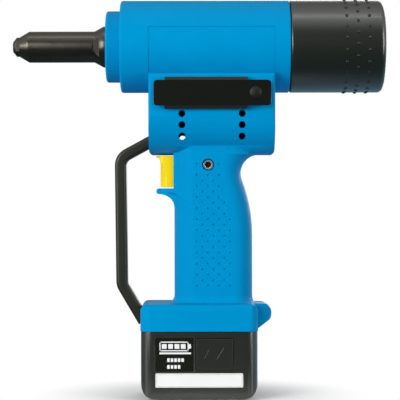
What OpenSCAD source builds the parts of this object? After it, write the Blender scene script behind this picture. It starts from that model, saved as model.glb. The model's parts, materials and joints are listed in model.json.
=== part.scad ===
// Cordless blind riveter: a barrel housing over a drive body, a pistol grip with a hand
// guard, a spent mandrel container at the rear and a battery pack under the grip.
// Millimetres. X runs from the nose (negative) to the rear, Z is up, and the origin is
// the middle of the battery pack's underside.

/* [Overall] */
// Height of the pulling axis above the surface the tool stands on
axis_z = 251; // [247:0.5:258]
// Thickness of the moulded housing walls
wall = 2.5; // [2:0.1:3]
// Gap between fixed pieces that seat in one another
seat_gap = 0.15; // [0.1:0.05:0.25]
// Gap between pieces that move past each other
run_gap = 0.35; // [0.3:0.05:0.5]
// Radial clearance of a shaft or pin in its hole
fit_gap = 0.05; // [0.02:0.01:0.1]

/* [Barrel] */
// Outer radius of the barrel
barrel_r = 33; // [32:0.5:35]
// Reach of the barrel ahead of the battery's middle
barrel_front = 55.9; // [54:0.1:60]
// Reach of the barrel behind the battery's middle
barrel_rear = 64.8; // [62:0.1:68]
// Radius on the front edges of barrel and collar
barrel_edge_r = 2; // [1:0.5:3]
// Radius on the edges where barrel and container meet
joint_edge_r = 1.2; // [0.6:0.2:1.6]
// Outer radius of the collar round the nose
collar_r = 25.6; // [25:0.2:28]
// Length of the collar
collar_len = 10.4; // [9:0.1:14]
// Depth of the bare panel pressed into each side of the barrel
panel_depth = 0.4; // [0.2:0.1:0.6]
// Height of the panel's top edge above the pulling axis
panel_rise = 11.6; // [8:0.2:14]

/* [Drive body] */
// Reach of the drive body ahead of the battery's middle
drive_front = 35.5; // [34:0.1:38]
// Reach of the drive body behind the battery's middle
drive_rear = 53.7; // [52:0.1:57]
// Half width of the drive body, and the radius of its round floor
drive_half_w = 31.5; // [30:0.5:33]
// Depth of the round floor's centre below the pulling axis
drive_drop = 46.5; // [45:0.5:49]
// Depth of the side ledge below the pulling axis
ledge_drop = 20.5; // [18:0.5:23]
// Radius along the side ledge
ledge_r = 4; // [2:0.5:5]
// Radius on the drive body's upright and lower edges
drive_edge_r = 3; // [1:0.5:5]
// Radius of a cooling hole
vent_r = 2.4; // [1.5:0.1:3]
// Spacing of the cooling holes in a column
vent_pitch = 7.85; // [7:0.05:9]
// Number of cooling holes in a column
vent_count = 3; // [1:1:3]
// Height of the lowest cooling hole above the drive body's floor
vent_low = 12.8; // [10:0.1:15]
// Place of the front column ahead of the battery's middle
vent_front = 11.9; // [11:0.1:13]
// Place of the rear column behind the battery's middle
vent_rear = 30.4; // [26:0.1:34]

/* [Grip] */
// Reach of the grip's front ahead of the battery's middle
grip_front = 17.7; // [16:0.1:20]
// Reach of the grip's back behind the battery's middle
grip_back = 38.1; // [36:0.1:39]
// Reach of the narrow waist under the drive body
grip_waist = 30; // [28:0.1:33]
// Half thickness of the grip
grip_half_t = 18.4; // [17:0.1:20]
// Depth over which the front of the grip is rounded
grip_front_round = 13; // [10:0.5:14]
// Depth over which the back of the grip is rounded
grip_back_round = 13; // [10:0.5:14]
// Radius of the long curve that fills the palm
palm_r = 108; // [90:1:140]
// Radius of the curve between grip and drive body
web_r = 13.2; // [10:0.1:15]
// Spread of the skirt where the grip meets the foot
skirt_spread = 5; // [2:0.5:6]
// Height of that skirt
skirt_h = 6; // [3:0.5:8]

/* [Finger hook] */
// Height of the hook's flat top below the drive body's floor
hook_drop = 23.8; // [22:0.1:27]
// Reach of the hook's tip ahead of the grip
hook_reach = 13.1; // [10:0.1:15]
// Thickness of the hook's tip
hook_t = 4.1; // [3:0.1:5]
// Height of the hollow under the hook
hook_hollow = 9; // [6:0.5:11]
// Half width of the hook's tip
hook_half_w = 8; // [6:0.5:10]

/* [Trigger] */
// Reach of the trigger's face ahead of the grip
trigger_reach = 10; // [9:0.1:12]
// Extra reach of the lip at the trigger's top
trigger_lip = 3; // [2:0.1:4]
// Height of the lip's hollow
trigger_lip_h = 4; // [3:0.1:5]
// Half width of the trigger
trigger_half_w = 8; // [7:0.1:8.5]
// Radius of the trigger's round face, seen from above
trigger_face_r = 9.5; // [9:0.1:12]
// Travel of the trigger
trigger_travel = 6; // [4:0.5:6.5]

/* [Foot] */
// Length of the foot
foot_l = 83.2; // [82:0.1:88]
// Width of the foot
foot_w = 58; // [57:0.5:62]
// Height of the foot above the battery's top edge
foot_h = 19.1; // [18:0.1:22]
// Radius on the foot's upper edge
foot_edge_r = 5; // [3:0.5:6]
// Radius on the foot's upright corners
foot_corner_r = 8; // [6:0.5:10]
// Reach of the heel lug behind the foot
heel_reach = 10.2; // [7:0.1:12]
// Half width of the heel lug
heel_half_w = 14; // [10:0.5:18]
// Radius of the heel lug's nose
heel_nose_r = 7.2; // [5:0.1:8]

/* [Hand guard] */
// Place of the guard's upright bar ahead of the battery's middle
guard_front = 55.4; // [54:0.1:60]
// Thickness of the guard bar, seen from the side
guard_t = 8.2; // [7:0.1:9]
// Width of the guard bar across the tool
guard_w = 15; // [12:0.5:17]
// Radius on the long edges of the guard bar
guard_edge_r = 2.4; // [1.5:0.1:3]
// Bend radius at the guard bar's middle line
guard_bend_r = 9; // [7:0.5:12]
// Rise of the upper leg, in degrees
guard_rise = 28.5; // [24:0.5:32]
// Fall of the lower leg, in degrees
guard_fall = 61; // [57:0.5:64]
// Height of the upper leg's middle line above the drive body's floor at its wall
guard_seat_high = 9.4; // [9:0.1:11]
// Height of the lower leg's middle line above the battery's top edge at the foot
guard_seat_low = 9; // [8.5:0.1:11]

/* [Belt clip] */
// Length of the clip
clip_l = 82.2; // [78:0.1:86]
// Height of the clip's strap
clip_h = 17.9; // [16:0.1:20]
// Height over the bent flanges
clip_flange_h = 22.9; // [21:0.1:25]
// Length of the bent flanges
clip_flange_l = 58.1; // [50:0.1:60]
// Sheet thickness
clip_t = 1.5; // [1:0.1:2]
// Clear slot between housing and strap
clip_slot = 4.5; // [4.3:0.1:6]
// Reach of the clip's rear end behind the battery's middle
clip_rear = 50.5; // [49:0.1:52]
// Depth of the clip's middle line below the pulling axis
clip_drop = 35.25; // [34:0.05:37]
// Radius of the strap's corners
clip_corner_r = 2.6; // [1:0.2:4]
// Distance of the clip's screw from the clip's rear end
clip_screw_in = 10.8; // [8:0.1:11]

/* [Nose] */
// Reach of the head sleeve's front face ahead of the collar
sleeve_l = 62.2; // [60:0.1:70]
// Outer radius of the head sleeve
sleeve_r = 11.15; // [10.8:0.05:13]
// Length of the cone at the sleeve's front
sleeve_cone_l = 6.8; // [5:0.1:8]
// Radius of the sleeve's front face
sleeve_face_r = 7.2; // [7:0.1:8]
// Radius of the flange against the collar
sleeve_flange_r = 14.7; // [14:0.1:17]
// Length of the flange and its cone
sleeve_flange_l = 8.6; // [7:0.1:10]
// Length of the straight rim of the flange
sleeve_rim_l = 2.1; // [1.5:0.1:3]
// Width across the spanner flats of the sleeve
sleeve_flat = 21; // [20.5:0.1:22]
// Length of the spanner flats
sleeve_flat_l = 4.5; // [3:0.1:5]
// Width across the flats of the nosepiece
nose_flat = 12; // [11:0.1:12.5]
// Length of the nosepiece ahead of the sleeve
nose_l = 4.9; // [4:0.1:7]
// Radius of the nosepiece's face
nose_face_r = 3.7; // [3:0.1:4]
// Length of the nosepiece's cone
nose_cone_l = 2.8; // [2:0.1:3.5]
// Radius of the bore that takes the rivet's mandrel
nose_bore_r = 1.65; // [1.2:0.05:2]

/* [Container] */
// Length of the mandrel container
container_l = 66; // [60:0.5:75]
// Wall of the mandrel container
container_wall = 3.2; // [2.6:0.1:4]
// Gap between container and barrel
container_gap = 0.3; // [0.3:0.05:1]
// Radius of the container's rear edge
container_edge_r = 4; // [2:0.5:6]

/* [Gears and spindle] */
// Gear module
gear_module = 1.5; // [1.4:0.05:1.55]
// Teeth on the motor pinion
pinion_teeth = 24; // [22:2:26]
// Teeth on the nut gear
nut_teeth = 36; // [34:2:36]
// Width of the gears
gear_w = 8; // [6:0.5:8]
// Thinning of each tooth at the pitch circle, for backlash
gear_backlash = 0.25; // [0.15:0.05:0.4]
// Radius of the ball screw spindle
spindle_r = 8; // [7.5:0.1:8.2]
// Radius of the spindle's through bore
spindle_bore_r = 3.8; // [3.6:0.1:4.2]
// Pulling stroke of the spindle
stroke = 20; // [14:1:20]
// Radius of the motor
motor_r = 18.5; // [17:0.5:19.5]

/* [Battery] */
// Length of the battery pack
battery_l = 82.4; // [82:0.1:84]
// Width of the battery pack
battery_w = 56; // [55.5:0.5:60]
// Height of the battery pack up to the foot
battery_h = 48.4; // [48:0.1:52]
// Radius of the pack's lower edge, seen from the side
battery_floor_r = 11; // [7:0.5:12]
// Radius of the pack's upright corners
battery_corner_r = 8; // [6:0.5:10]
// Radius of a cell
cell_r = 9.2; // [8.8:0.1:9.3]
// Length of a cell
cell_l = 65; // [60:1:68]
// Width of a release button
button_w = 25.8; // [20:0.1:28]
// Height of a release button
button_h = 21.8; // [18:0.1:22]
// Place of the release buttons behind the battery's middle
button_x = 10.9; // [8:0.1:12]
// Distance of the release buttons' upper edge from the pack's top
button_drop = 5; // [4.8:0.1:6]
// How far a release button stands proud
button_proud = 0.8; // [0.4:0.1:1.2]
// Travel of a release button
button_travel = 2; // [1:0.1:2]
// Depth of the bare label recesses
label_depth = 0.3; // [0.2:0.05:0.5]

/* [Hidden] */
$fn = 72;
eps = 0.01;

blue = "#0a8fd4";
black = "#2b2b28";
steel = "#8d9094";
dark_steel = "#3a3532";

// Barrel, collar and drive body
barrel_x0 = -barrel_front;
barrel_x1 = barrel_rear;
collar_x0 = barrel_x0 - collar_len;
drive_x0 = -drive_front;
drive_x1 = drive_rear;
drive_mid_z = axis_z - drive_drop;
drive_floor_z = drive_mid_z - drive_half_w;
ledge_z = axis_z - ledge_drop;
neck_half_w = drive_half_w - 7.5;
bore_r = barrel_r - wall;

// Grip: the palm curve and the web curve meet on the line through their centres
grip_x0 = -grip_front;
grip_flat_x = grip_x0 + grip_front_round;
web_x = grip_waist + web_r;
web_z = drive_floor_z + 0.3 - web_r;
palm_x = grip_back - palm_r;
palm_z = web_z - sqrt(pow(palm_r + web_r, 2) - pow(web_x - palm_x, 2));
palm_angle = atan2(web_z - palm_z, web_x - palm_x);
foot_top_z = battery_h + foot_h;
nose_depth = 0.54;
nose_share = 0.77;
facet_edge = [[-0.17, 1], [0.02, 0.992], [0.2, 0.955]];

// Finger hook and trigger
hook_top_z = drive_floor_z - hook_drop;
hook_x0 = grip_x0 - hook_reach;
cheek_reach = 0.5;
cheek_t = 1.5;
trigger_x0 = grip_x0 - trigger_reach;
trigger_z0 = hook_top_z + 1;
trigger_z1 = drive_floor_z - 0.6;
stop_x = grip_x0 + wall + 2;
stop_t = 2;
plunger_z = trigger_z0 + 4.5;
plunger_r = 2.4;
stem_x1 = stop_x + stop_t + 6;
switch_x0 = stem_x1 + trigger_travel + 0.6;
switch_l = 24;
switch_half_w = 8.2;
switch_z0 = trigger_z0 - 7;
switch_z1 = trigger_z0 + 9;
plunger_l = 11.5;

// Gear train and pulling axis
nut_count = min(nut_teeth, floor(2 * (bore_r - 2) / gear_module - 1.8));
pinion_count = pinion_teeth + nut_teeth - nut_count;
gear_distance = gear_module * (pinion_teeth + nut_teeth) / 2;
motor_z = axis_z - gear_distance;
frame_x0 = collar_x0 + wall + seat_gap;
frame_step_x = barrel_x0 + wall + seat_gap;
plate_x0 = drive_x0 + wall + seat_gap;
plate_t = 5;
plate_x1 = plate_x0 + plate_t;
gear_side_gap = 0.6;
gear_x0 = plate_x1 + gear_side_gap;
gear_x1 = gear_x0 + gear_w;
cover_x0 = gear_x1 + gear_side_gap;
cover_t = 4;
cover_x1 = cover_x0 + cover_t;
hub_x1 = cover_x1 + 8.2;
lobe_r = 14;
neck_w = 20;
pinion_shaft_r = 4;
gearbox_x0 = cover_x1;
gearbox_l = 16;
gearbox_r = motor_r + 0.5;
motor_x0 = gearbox_x0 + gearbox_l;
motor_x1 = drive_x1 - wall - 1.5;
end_cap_l = 5;

nut_r = 13;
nut_flange_r = 16.5;
nut_flange_t = 3.4;
thrust_t = 4.1;
thrust_x0 = plate_x1 - nut_flange_t - thrust_t - 0.7;
nut_x0 = thrust_x0 + thrust_t;
nut_x1 = hub_x1 - fit_gap;
nut_bearing_r = 20;

sleeve_x0 = collar_x0 - sleeve_l;
sleeve_bore_r = spindle_r + 0.6;
spigot_r = 12;
spigot_x1 = frame_x0 + 13;
shank_r = 5;
shank_l = 15;
nose_x0 = sleeve_x0 - nose_l;

chuck_r = sleeve_bore_r - run_gap;
chuck_x0 = sleeve_x0 + shank_l + 1;
chuck_l = 32;
chuck_cone_l = 13;
chuck_mouth_r = 3.6;
chuck_bore_r = 6.6;
jaw_x0 = chuck_x0 + 2;
jaw_x1 = chuck_x0 + 2 + chuck_cone_l;
jaw_gap = 0.1;
pusher_t = 3;
pusher_stem_r = spindle_bore_r - 0.3;
pusher_x1 = jaw_x1 + pusher_t;
jaw_spring_l = 6;
spindle_x0 = pusher_x1 + jaw_spring_l;
spindle_x1 = hub_x1 + 32;
key_l = 6;
key_r = 14.1;
key_lug = 3.9;
key_w = 6.4;
guide_bore_r = key_r + run_gap;
guide_r = 18.5;
guide_flange_r = 22.5;
plug_x0 = barrel_x1 - 14;
plug_recess = 3;
plug_wall = 6;
spigot_rear_r = barrel_r - container_wall - run_gap;
plug_x1 = barrel_x1 + 12.5;
plug_wall_ring = 3.4;
tube_r = 3.4;
tube_x1 = barrel_x1 + 1.5;
tube_x0 = spindle_x0 + stroke + 9;
seal_r = 1.2;
seal_x = barrel_x1 + 6.5;
container_x0 = barrel_x1 + container_gap;
container_x1 = container_x0 + container_l;
container_bore_r = barrel_r - container_wall;
seal_ring_r = container_bore_r - 0.1 - seal_r;

// Foot, heel, guard and clip
foot_x = foot_l / 2;
guard_leg_x = -guard_front;
guard_top_z = drive_floor_z + guard_seat_high - (drive_x0 - guard_leg_x) * tan(guard_rise);
guard_low_z = battery_h + guard_seat_low + (-foot_x - guard_leg_x) * tan(guard_fall);
guard_tail = wall + 3;
clip_z = axis_z - clip_drop;
clip_y = drive_half_w + clip_slot;
clip_x0 = clip_rear - clip_l;
clip_flange_x0 = clip_x0 + 7.8;
clip_screw_x = clip_rear - clip_screw_in;
clip_screw_r = 2;

// Housing screws: place, half width of the housing there, and side of the head
screw_r = 2;
screw_head_r = 3.7;
screw_head_l = 3.6;
socket_r = 2.4;
screw_sink = 1.6;
counterbore_r = 4.25;
boss_r = 5.6;
crown_z = axis_z + max(bore_r - 5.5, guide_flange_r + screw_r + 0.5);
crown_half_w = sqrt(pow(barrel_r, 2) - pow(crown_z - axis_z, 2));
keel_z = drive_floor_z + wall + 4.5;
keel_half_w = sqrt(pow(drive_half_w, 2) - pow(drive_mid_z - keel_z, 2));
web_screw_z = drive_floor_z - 7.1;
SCREWS = [
    [grip_x0 + 24.2, web_screw_z, grip_half_t, -1],
    [grip_back - 17, foot_top_z + 16, grip_half_t, 1],
    [barrel_x0 + 15.5, crown_z, crown_half_w, 1],
    [barrel_x1 - 23, crown_z, crown_half_w, 1],
    [drive_x0 + 10.5, keel_z, keel_half_w, 1],
    [drive_x1 - 9, keel_z, keel_half_w, 1]];

// Motor leads
lead_r = 2.2;
lead_y = 2.5;
lead_bend = 6;
lead_z = motor_z - motor_r - lead_r - 0.1;
lead_x0 = switch_x0 + switch_l - 5.4;
lead_x1 = drive_x1 - 9 - boss_r - 0.6;

// Battery pack
battery_x = battery_l / 2;
battery_y = battery_w / 2;
battery_wall = 2.5;
battery_top_z = battery_h - 0.2;
lid_t = 3;
lid_x = battery_x - battery_wall - seat_gap;
lid_y = battery_y - battery_wall - seat_gap;
tower_x = battery_x - 15.2;
tower_y = battery_y - 9;
tower_z = battery_h + 9.6;
board_t = 1.5;
board_z = battery_top_z - lid_t - board_t;
holder_z0 = battery_wall + 0.6;
holder_z1 = board_z;
holder_x = cell_l / 2 - 8.5;
pack_r = min(cell_r, (holder_z1 - holder_z0 - 3.2) / 4);
holder_y = 2 * pack_r + 1.4;
cell_pitch = 2 * pack_r + 1;
cell_low_z = holder_z0 + pack_r + 0.9;
button_z = battery_h - button_drop - button_h;
label_z = [battery_h * 0.18, battery_h * 0.4];
label_x = battery_x - 10;
panel_x1 = button_x - button_w / 2 - 1.6;
blade_y = 8;
blade_t = 1;
blade_x = [-4, 8];
blade_z1 = tower_z + 5.5;
block_z0 = tower_z + 1.6;
block_z1 = foot_top_z - wall - seat_gap;
button_flange = 1.4;
button_back_y = battery_y - battery_wall - run_gap;
button_flange_t = 1.6;
button_corners = [2.5, 2.5, 0.5, 0.5];
board_x = [grip_x0 + 6.7, grip_x0 + 30.7];
block_x = [-tower_x + 2, tower_x + 7];
block_y = tower_y + 1;
board_top_z = foot_top_z + 46;
block_top_z = foot_top_z + 4.5;

// Points of an arc with separate radii along its two axes
function arc_points(cx, cy, rx, ry, a0, a1, steps = 6) =
    [for (i = [0:steps])
        let (a = a0 + (a1 - a0) * i / steps)
        [cx + rx * cos(a), cy + ry * sin(a)]];

// Outline of a rectangle, each corner with its own radius from the lower left anticlockwise
function soft_box(x0, y0, x1, y1, r) = concat(
    soft_corner(x0 + r[0], y0 + r[0], r[0], 180),
    soft_corner(x1 - r[1], y0 + r[1], r[1], 270),
    soft_corner(x1 - r[2], y1 - r[2], r[2], 0),
    soft_corner(x0 + r[3], y1 - r[3], r[3], 90));
function soft_corner(cx, cy, r, a) = r > 0 ? arc_points(cx, cy, r, r, a, a + 90) : [[cx, cy]];

// Heights of the grip's sections from foot to drive body: height, back, spread, flare
function grip_rows(inset) = concat(
    inset > 0 ? [[foot_top_z - wall - 1, grip_back - inset, 0, 0]] :
        [for (i = [0:5])
            let (s = skirt_spread * (1 - sin(18 * i)))
            [foot_top_z - 0.4 + skirt_h * (1 - cos(18 * i)), grip_back + s / 2, s, s / 2]],
    [for (i = [0:6])
        let (a = palm_angle * i / 6)
        let (r = palm_r - inset)
        [palm_z + r * sin(a), palm_x + r * cos(a), 0, 0]],
    [for (i = [1:10])
        let (a = i < 10 ? 180 + palm_angle - (85 + palm_angle) * i / 9 : 95)
        let (r = web_r + inset)
        let (back = web_x + r * cos(a))
        [i < 10 ? web_z + r * sin(a) : drive_floor_z + wall + 6.5, back, 0,
            a < 180 ? (back - grip_waist + inset) * 0.9 : 0]]);

// One section of the grip: a facet and a round nose at the front, a half ellipse at the back
function grip_ring(row, inset) =
    let (front = grip_front_round + row[2] - inset)
    let (half = grip_half_t + row[2] - inset)
    let (back = grip_back_round - inset + row[3])
    [for (p = concat(facet_points(front, half, 1),
        arc_points(grip_flat_x - front * (1 - nose_depth), 0, front * nose_depth,
            half * nose_share, 120, 240, 8),
        facet_points(front, half, -1),
        arc_points(row[1] - back, 0, back, half, -90, 90, 12))) [p[0], p[1], row[0]]];

// Soft edge between a flat side of the grip and the facet, from the side to the front or back again
function facet_points(front, half, side) =
    [for (i = side > 0 ? [0:2] : [2:-1:0])
        [grip_flat_x - front * facet_edge[i][0], side * half * facet_edge[i][1]]];

// Gear outline with involute flanks
function flank_roll(a) = tan(a) * 180 / PI - a;
function gear_outline(teeth) =
    let (pitch_r = gear_module * teeth / 2)
    let (base_r = pitch_r * cos(20))
    let (root_r = pitch_r - 1.25 * gear_module)
    let (tip_r = pitch_r + 0.9 * gear_module)
    let (half = 90 / teeth - gear_backlash / 2 / pitch_r * 180 / PI + flank_roll(20))
    let (radii = [for (i = [0:4]) max(base_r, root_r) + (tip_r - max(base_r, root_r)) * i / 4])
    let (angles = [for (r = radii) half - flank_roll(acos(min(1, base_r / r)))])
    [for (k = [0:teeth - 1])
        let (mid = 360 * k / teeth)
        each concat(
            [root_r * [cos(mid - half), sin(mid - half)]],
            [for (i = [0:4]) radii[i] * [cos(mid - angles[i]), sin(mid - angles[i])]],
            [for (i = [4:-1:0]) radii[i] * [cos(mid + angles[i]), sin(mid + angles[i])]],
            [root_r * [cos(mid + half), sin(mid + half)]])];

// Extrusions and turned shapes
module along_x(x0, x1) {
    translate([x0, 0, 0]) rotate([90, 0, 90]) linear_extrude(x1 - x0) children();
}

module along_y(half) {
    rotate([90, 0, 0]) linear_extrude(2 * half, center = true) children();
}

module along_z(z0, z1) {
    translate([0, 0, z0]) linear_extrude(z1 - z0) children();
}

module turned(z) {
    translate([0, 0, z]) rotate([0, 90, 0]) rotate_extrude() children();
}

module rod_x(z, x0, x1, r) {
    translate([x0, 0, z]) rotate([0, 90, 0]) cylinder(h = x1 - x0, r = r);
}

module rod_y(x, z, y0, y1, r) {
    translate([x, y0, z]) rotate([-90, 0, 0]) cylinder(h = y1 - y0, r = r);
}

module block(x0, x1, y0, y1, z0, z1) {
    translate([x0, y0, z0]) cube([x1 - x0, y1 - y0, z1 - z0]);
}

// Coil spring along Z as one tube
module coil(coil_r, wire_r, length, turns) {
    sides = 6;
    per_turn = 12;
    steps = turns * per_turn;
    points = [for (i = [0:steps]) for (k = [0:sides - 1])
        let (a = 360 * i / per_turn)
        let (b = 360 * k / sides)
        let (r = coil_r + wire_r * cos(b))
        [r * cos(a), r * sin(a), wire_r + (length - 2 * wire_r) * i / steps + wire_r * sin(b)]];
    walls = [for (i = [0:steps - 1]) for (k = [0:sides - 1])
        let (n = (k + 1) % sides)
        each [[i * sides + k, i * sides + n, (i + 1) * sides + n],
            [i * sides + k, (i + 1) * sides + n, (i + 1) * sides + k]]];
    first = [for (k = [1:sides - 2]) [0, k + 1, k]];
    last = [for (k = [1:sides - 2]) [steps * sides, steps * sides + k, steps * sides + k + 1]];
    polyhedron(points, concat(walls, first, last));
}

// Outer and inner forms of the housing
module drive_section(inset) {
    half = drive_half_w - inset;
    top = ledge_z - inset;
    translate([0, drive_mid_z]) circle(half);
    polygon(soft_box(-half, drive_mid_z, half, top, [0, 0, ledge_r, ledge_r]));
}

module drive_form() {
    r = drive_edge_r;
    intersection() {
        along_x(drive_x0, drive_x1) drive_section(0);
        along_y(drive_half_w + 1)
            polygon(soft_box(drive_x0, drive_floor_z, drive_x1, axis_z, [r, r, 0, 0]));
        along_z(drive_floor_z - 1, axis_z)
            polygon(soft_box(drive_x0, -drive_half_w, drive_x1, drive_half_w, [r, r, r, r]));
    }
}

module barrel_form() {
    e = barrel_edge_r;
    q = joint_edge_r;
    turned(axis_z) polygon(concat([[0, collar_x0]],
        arc_points(collar_r - e, collar_x0 + e, e, e, -90, 0),
        [[collar_r, barrel_x0]],
        arc_points(barrel_r - e, barrel_x0 + e, e, e, -90, 0),
        arc_points(barrel_r - q, barrel_x1 - q, q, q, 0, 90), [[0, barrel_x1]]));
}

module panel_cut() {
    difference() {
        block(drive_x0, drive_x1, -barrel_r - 1, barrel_r + 1, ledge_z + 0.6, axis_z + panel_rise);
        rod_x(axis_z, drive_x0 - 1, drive_x1 + 1, barrel_r - panel_depth);
    }
}

// The grip as a stack of sections, with the skirt at its foot and the web at its top
module grip_form(inset) {
    rows = grip_rows(inset);
    levels = len(rows) - 1;
    count = len(grip_ring(rows[0], inset));
    top = levels * count;
    points = [for (row = rows) each grip_ring(row, inset)];
    walls = [for (i = [0:levels - 1]) for (k = [0:count - 1])
        let (n = (k + 1) % count)
        each [[i * count + k, (i + 1) * count + k, i * count + n],
            [i * count + n, (i + 1) * count + k, (i + 1) * count + n]]];
    base = [for (k = [1:count - 2]) [0, k, k + 1]];
    crown = [for (k = [1:count - 2]) [top, top + k + 1, top + k]];
    polyhedron(points, concat(walls, base, crown));
}

// Finger hook with a flank on each side that runs out on the grip's facet
module hook_form() {
    tip = hook_t / 2;
    tip_arc = arc_points(hook_x0 + hook_half_w, 0, hook_half_w, hook_half_w, 90, 270, 12);
    hollow_x = hook_x0 + tip;
    low_z = hook_top_z - hook_t - hook_hollow;
    root_x = grip_flat_x + 0.6;
    intersection() {
        along_y(grip_half_t) polygon(concat(
            [[grip_flat_x, hook_top_z]],
            arc_points(hook_x0 + tip, hook_top_z - tip, tip, tip, 90, 270),
            arc_points(hollow_x, low_z, grip_x0 - hollow_x, hook_hollow, 90, 0, 8),
            [[grip_flat_x, low_z]]));
        along_z(low_z - 1, hook_top_z + 1) polygon(concat(tip_arc,
            [[grip_flat_x, -hook_half_w - 3], [grip_flat_x, hook_half_w + 3]]));
    }
    flank = [[grip_x0 + 3.1, grip_half_t * 0.695], [grip_flat_x - 2.8, grip_half_t * 0.982],
        [root_x, grip_half_t - 0.02]];
    intersection() {
        along_y(grip_half_t + 1) polygon([[root_x, hook_top_z], [hook_x0 + tip, hook_top_z],
            [hook_x0 + tip, hook_top_z - hook_t + 1.2], [grip_x0, hook_top_z - hook_t + 0.7],
            [root_x, low_z + 1]]);
        along_z(low_z, hook_top_z + 1) polygon(concat(tip_arc,
            [for (i = [0:2]) [flank[i][0], -flank[i][1]]], [for (i = [2:-1:0]) flank[i]]));
    }
}

// Cheeks beside the trigger, flush with the hook's root and running out on the facets
module cheek_form() {
    front_x = grip_x0 - cheek_reach;
    front_y = trigger_half_w + run_gap + cheek_t;
    flank = [[front_x, front_y], [grip_x0 + 3.1, grip_half_t * 0.63], [grip_flat_x - 2.8, grip_half_t * 0.955],
        [grip_flat_x, grip_half_t * 0.98]];
    along_z(hook_top_z - 1, drive_floor_z + 2)
        polygon(concat([for (i = [0:3]) [flank[i][0], -flank[i][1]]], [for (i = [3:-1:0]) flank[i]]));
}

module foot_form() {
    e = foot_edge_r;
    c = foot_corner_r;
    half = foot_w / 2;
    intersection() {
        along_y(half) polygon(soft_box(-foot_x, battery_h, foot_x, foot_top_z, [0, 0, e, e]));
        along_x(-foot_x, foot_x) polygon(soft_box(-half, battery_h, half, foot_top_z, [0, 0, e, e]));
        along_z(battery_h, foot_top_z) polygon(soft_box(-foot_x, -half, foot_x, half, [c, c, c, c]));
    }
    heel_form();
}

module heel_form() {
    r = heel_nose_r;
    x1 = foot_x + heel_reach;
    intersection() {
        along_y(heel_half_w) polygon(concat(
            [[foot_x - 8, battery_h + 1], [foot_x, battery_h + 1]],
            arc_points(x1 - r, foot_top_z - r - 0.2, r, r, -38, 90, 8),
            [[foot_x - 8, foot_top_z - 0.2]]));
        along_z(battery_h, foot_top_z) polygon(soft_box(foot_x - 9, -heel_half_w, x1, heel_half_w,
            [0, heel_reach - 1, heel_reach - 1, 0]));
    }
}

module housing_form() {
    difference() {
        barrel_form();
        panel_cut();
    }
    drive_form();
    grip_form(0);
    hook_form();
    cheek_form();
    foot_form();
}

module housing_hollow() {
    turned(axis_z) polygon([[0, collar_x0 - 1], [spigot_r + 0.3, collar_x0 - 1],
        [spigot_r + 0.3, collar_x0 + wall], [collar_r - wall, collar_x0 + wall],
        [collar_r - wall, barrel_x0 + wall], [bore_r, barrel_x0 + wall],
        [bore_r, barrel_x1 + 1], [0, barrel_x1 + 1]]);
    along_x(drive_x0 + wall, drive_x1 - wall) {
        drive_section(wall);
        polygon(soft_box(-neck_half_w, drive_mid_z, neck_half_w, axis_z - 15, [0, 0, 0, 0]));
    }
    grip_form(wall);
    half = foot_w / 2 - wall;
    along_z(battery_h - 1, foot_top_z - wall)
        polygon(soft_box(-foot_x + wall, -half, foot_x - wall, half, [5, 5, 5, 5]));
}

// Ribs and screw bosses inside the housing
module motor_rib(x) {
    along_x(x, x + 2.4) difference() {
        intersection() {
            drive_section(wall / 2);
            translate([-drive_half_w, drive_floor_z]) square([2 * drive_half_w, motor_z - drive_floor_z]);
        }
        translate([0, motor_z]) circle(motor_r + seat_gap);
    }
}

module switch_rib(x) {
    for (side = [-1, 1]) {
        y = [side * (switch_half_w + seat_gap), side * (grip_half_t - wall / 2)];
        block(x, x + 2, min(y), max(y), switch_z0 + 2, switch_z1 - 2);
    }
}

module board_rib() {
    for (side = [-1, 1]) {
        y = [side * (board_t / 2 + seat_gap), side * (grip_half_t - wall / 2)];
        block(board_x[0] + 4, board_x[1] - 4, min(y), max(y), board_top_z - 6, board_top_z - 4);
    }
}

module bosses() {
    intersection() {
        for (s = SCREWS) rod_y(s[0], s[1], -s[2] + 1, s[2] - 1, boss_r);
        union() {
            rod_x(axis_z, barrel_x0 + 1, barrel_x1 - 1, barrel_r - 1);
            along_x(drive_x0 + 1, drive_x1 - 1) drive_section(1);
            block(grip_x0, grip_back, -grip_half_t, grip_half_t, foot_top_z, drive_mid_z - 10);
        }
    }
}

module inner_supports() {
    difference() {
        union() {
            motor_rib(motor_x0 + 5);
            motor_rib(motor_x1 - end_cap_l - 5);
            switch_rib(switch_x0 + 5);
            switch_rib(switch_x0 + switch_l - 7);
            board_rib();
            bosses();
        }
        rod_x(axis_z, frame_step_x, plug_x0, guide_flange_r + 1);
        rod_x(motor_z, plate_x0 - 1, motor_x1 + 1, motor_r + seat_gap);
    }
}

module screw_holes() {
    for (s = SCREWS) {
        head_y = s[2] - screw_sink - screw_head_l;
        mirror([0, s[3] < 0 ? 1 : 0, 0]) {
            rod_y(s[0], s[1], head_y, s[2] + 1, counterbore_r);
            rod_y(s[0], s[1], -s[2] + 5, head_y + 1, screw_r + fit_gap);
        }
    }
}

module vent_holes() {
    for (x = [-vent_front, vent_rear]) for (i = [0:vent_count - 1])
        rod_y(x, drive_floor_z + vent_low + i * vent_pitch, -drive_half_w - 1, drive_half_w + 1, vent_r);
}

module shell_cuts() {
    housing_hollow();
    vent_holes();
    half = trigger_half_w + run_gap;
    block(grip_x0 - 1, stop_x + 3, -half, half, trigger_z0 - run_gap, trigger_z1 + run_gap);
}

module shell(side) {
    span = 400;
    difference() {
        union() {
            difference() {
                housing_form();
                shell_cuts();
                translate([-span, side > 0 ? -span : 0, -1]) cube([2 * span, span, span]);
            }
            difference() {
                inner_supports();
                translate([-span, side > 0 ? -span : 0, -1]) cube([2 * span, span, span]);
            }
            if (side < 0) clip_boss();
        }
        screw_holes();
        guard_bar(seat_gap);
        if (side < 0) clip_screw_hole();
    }
}

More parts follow.
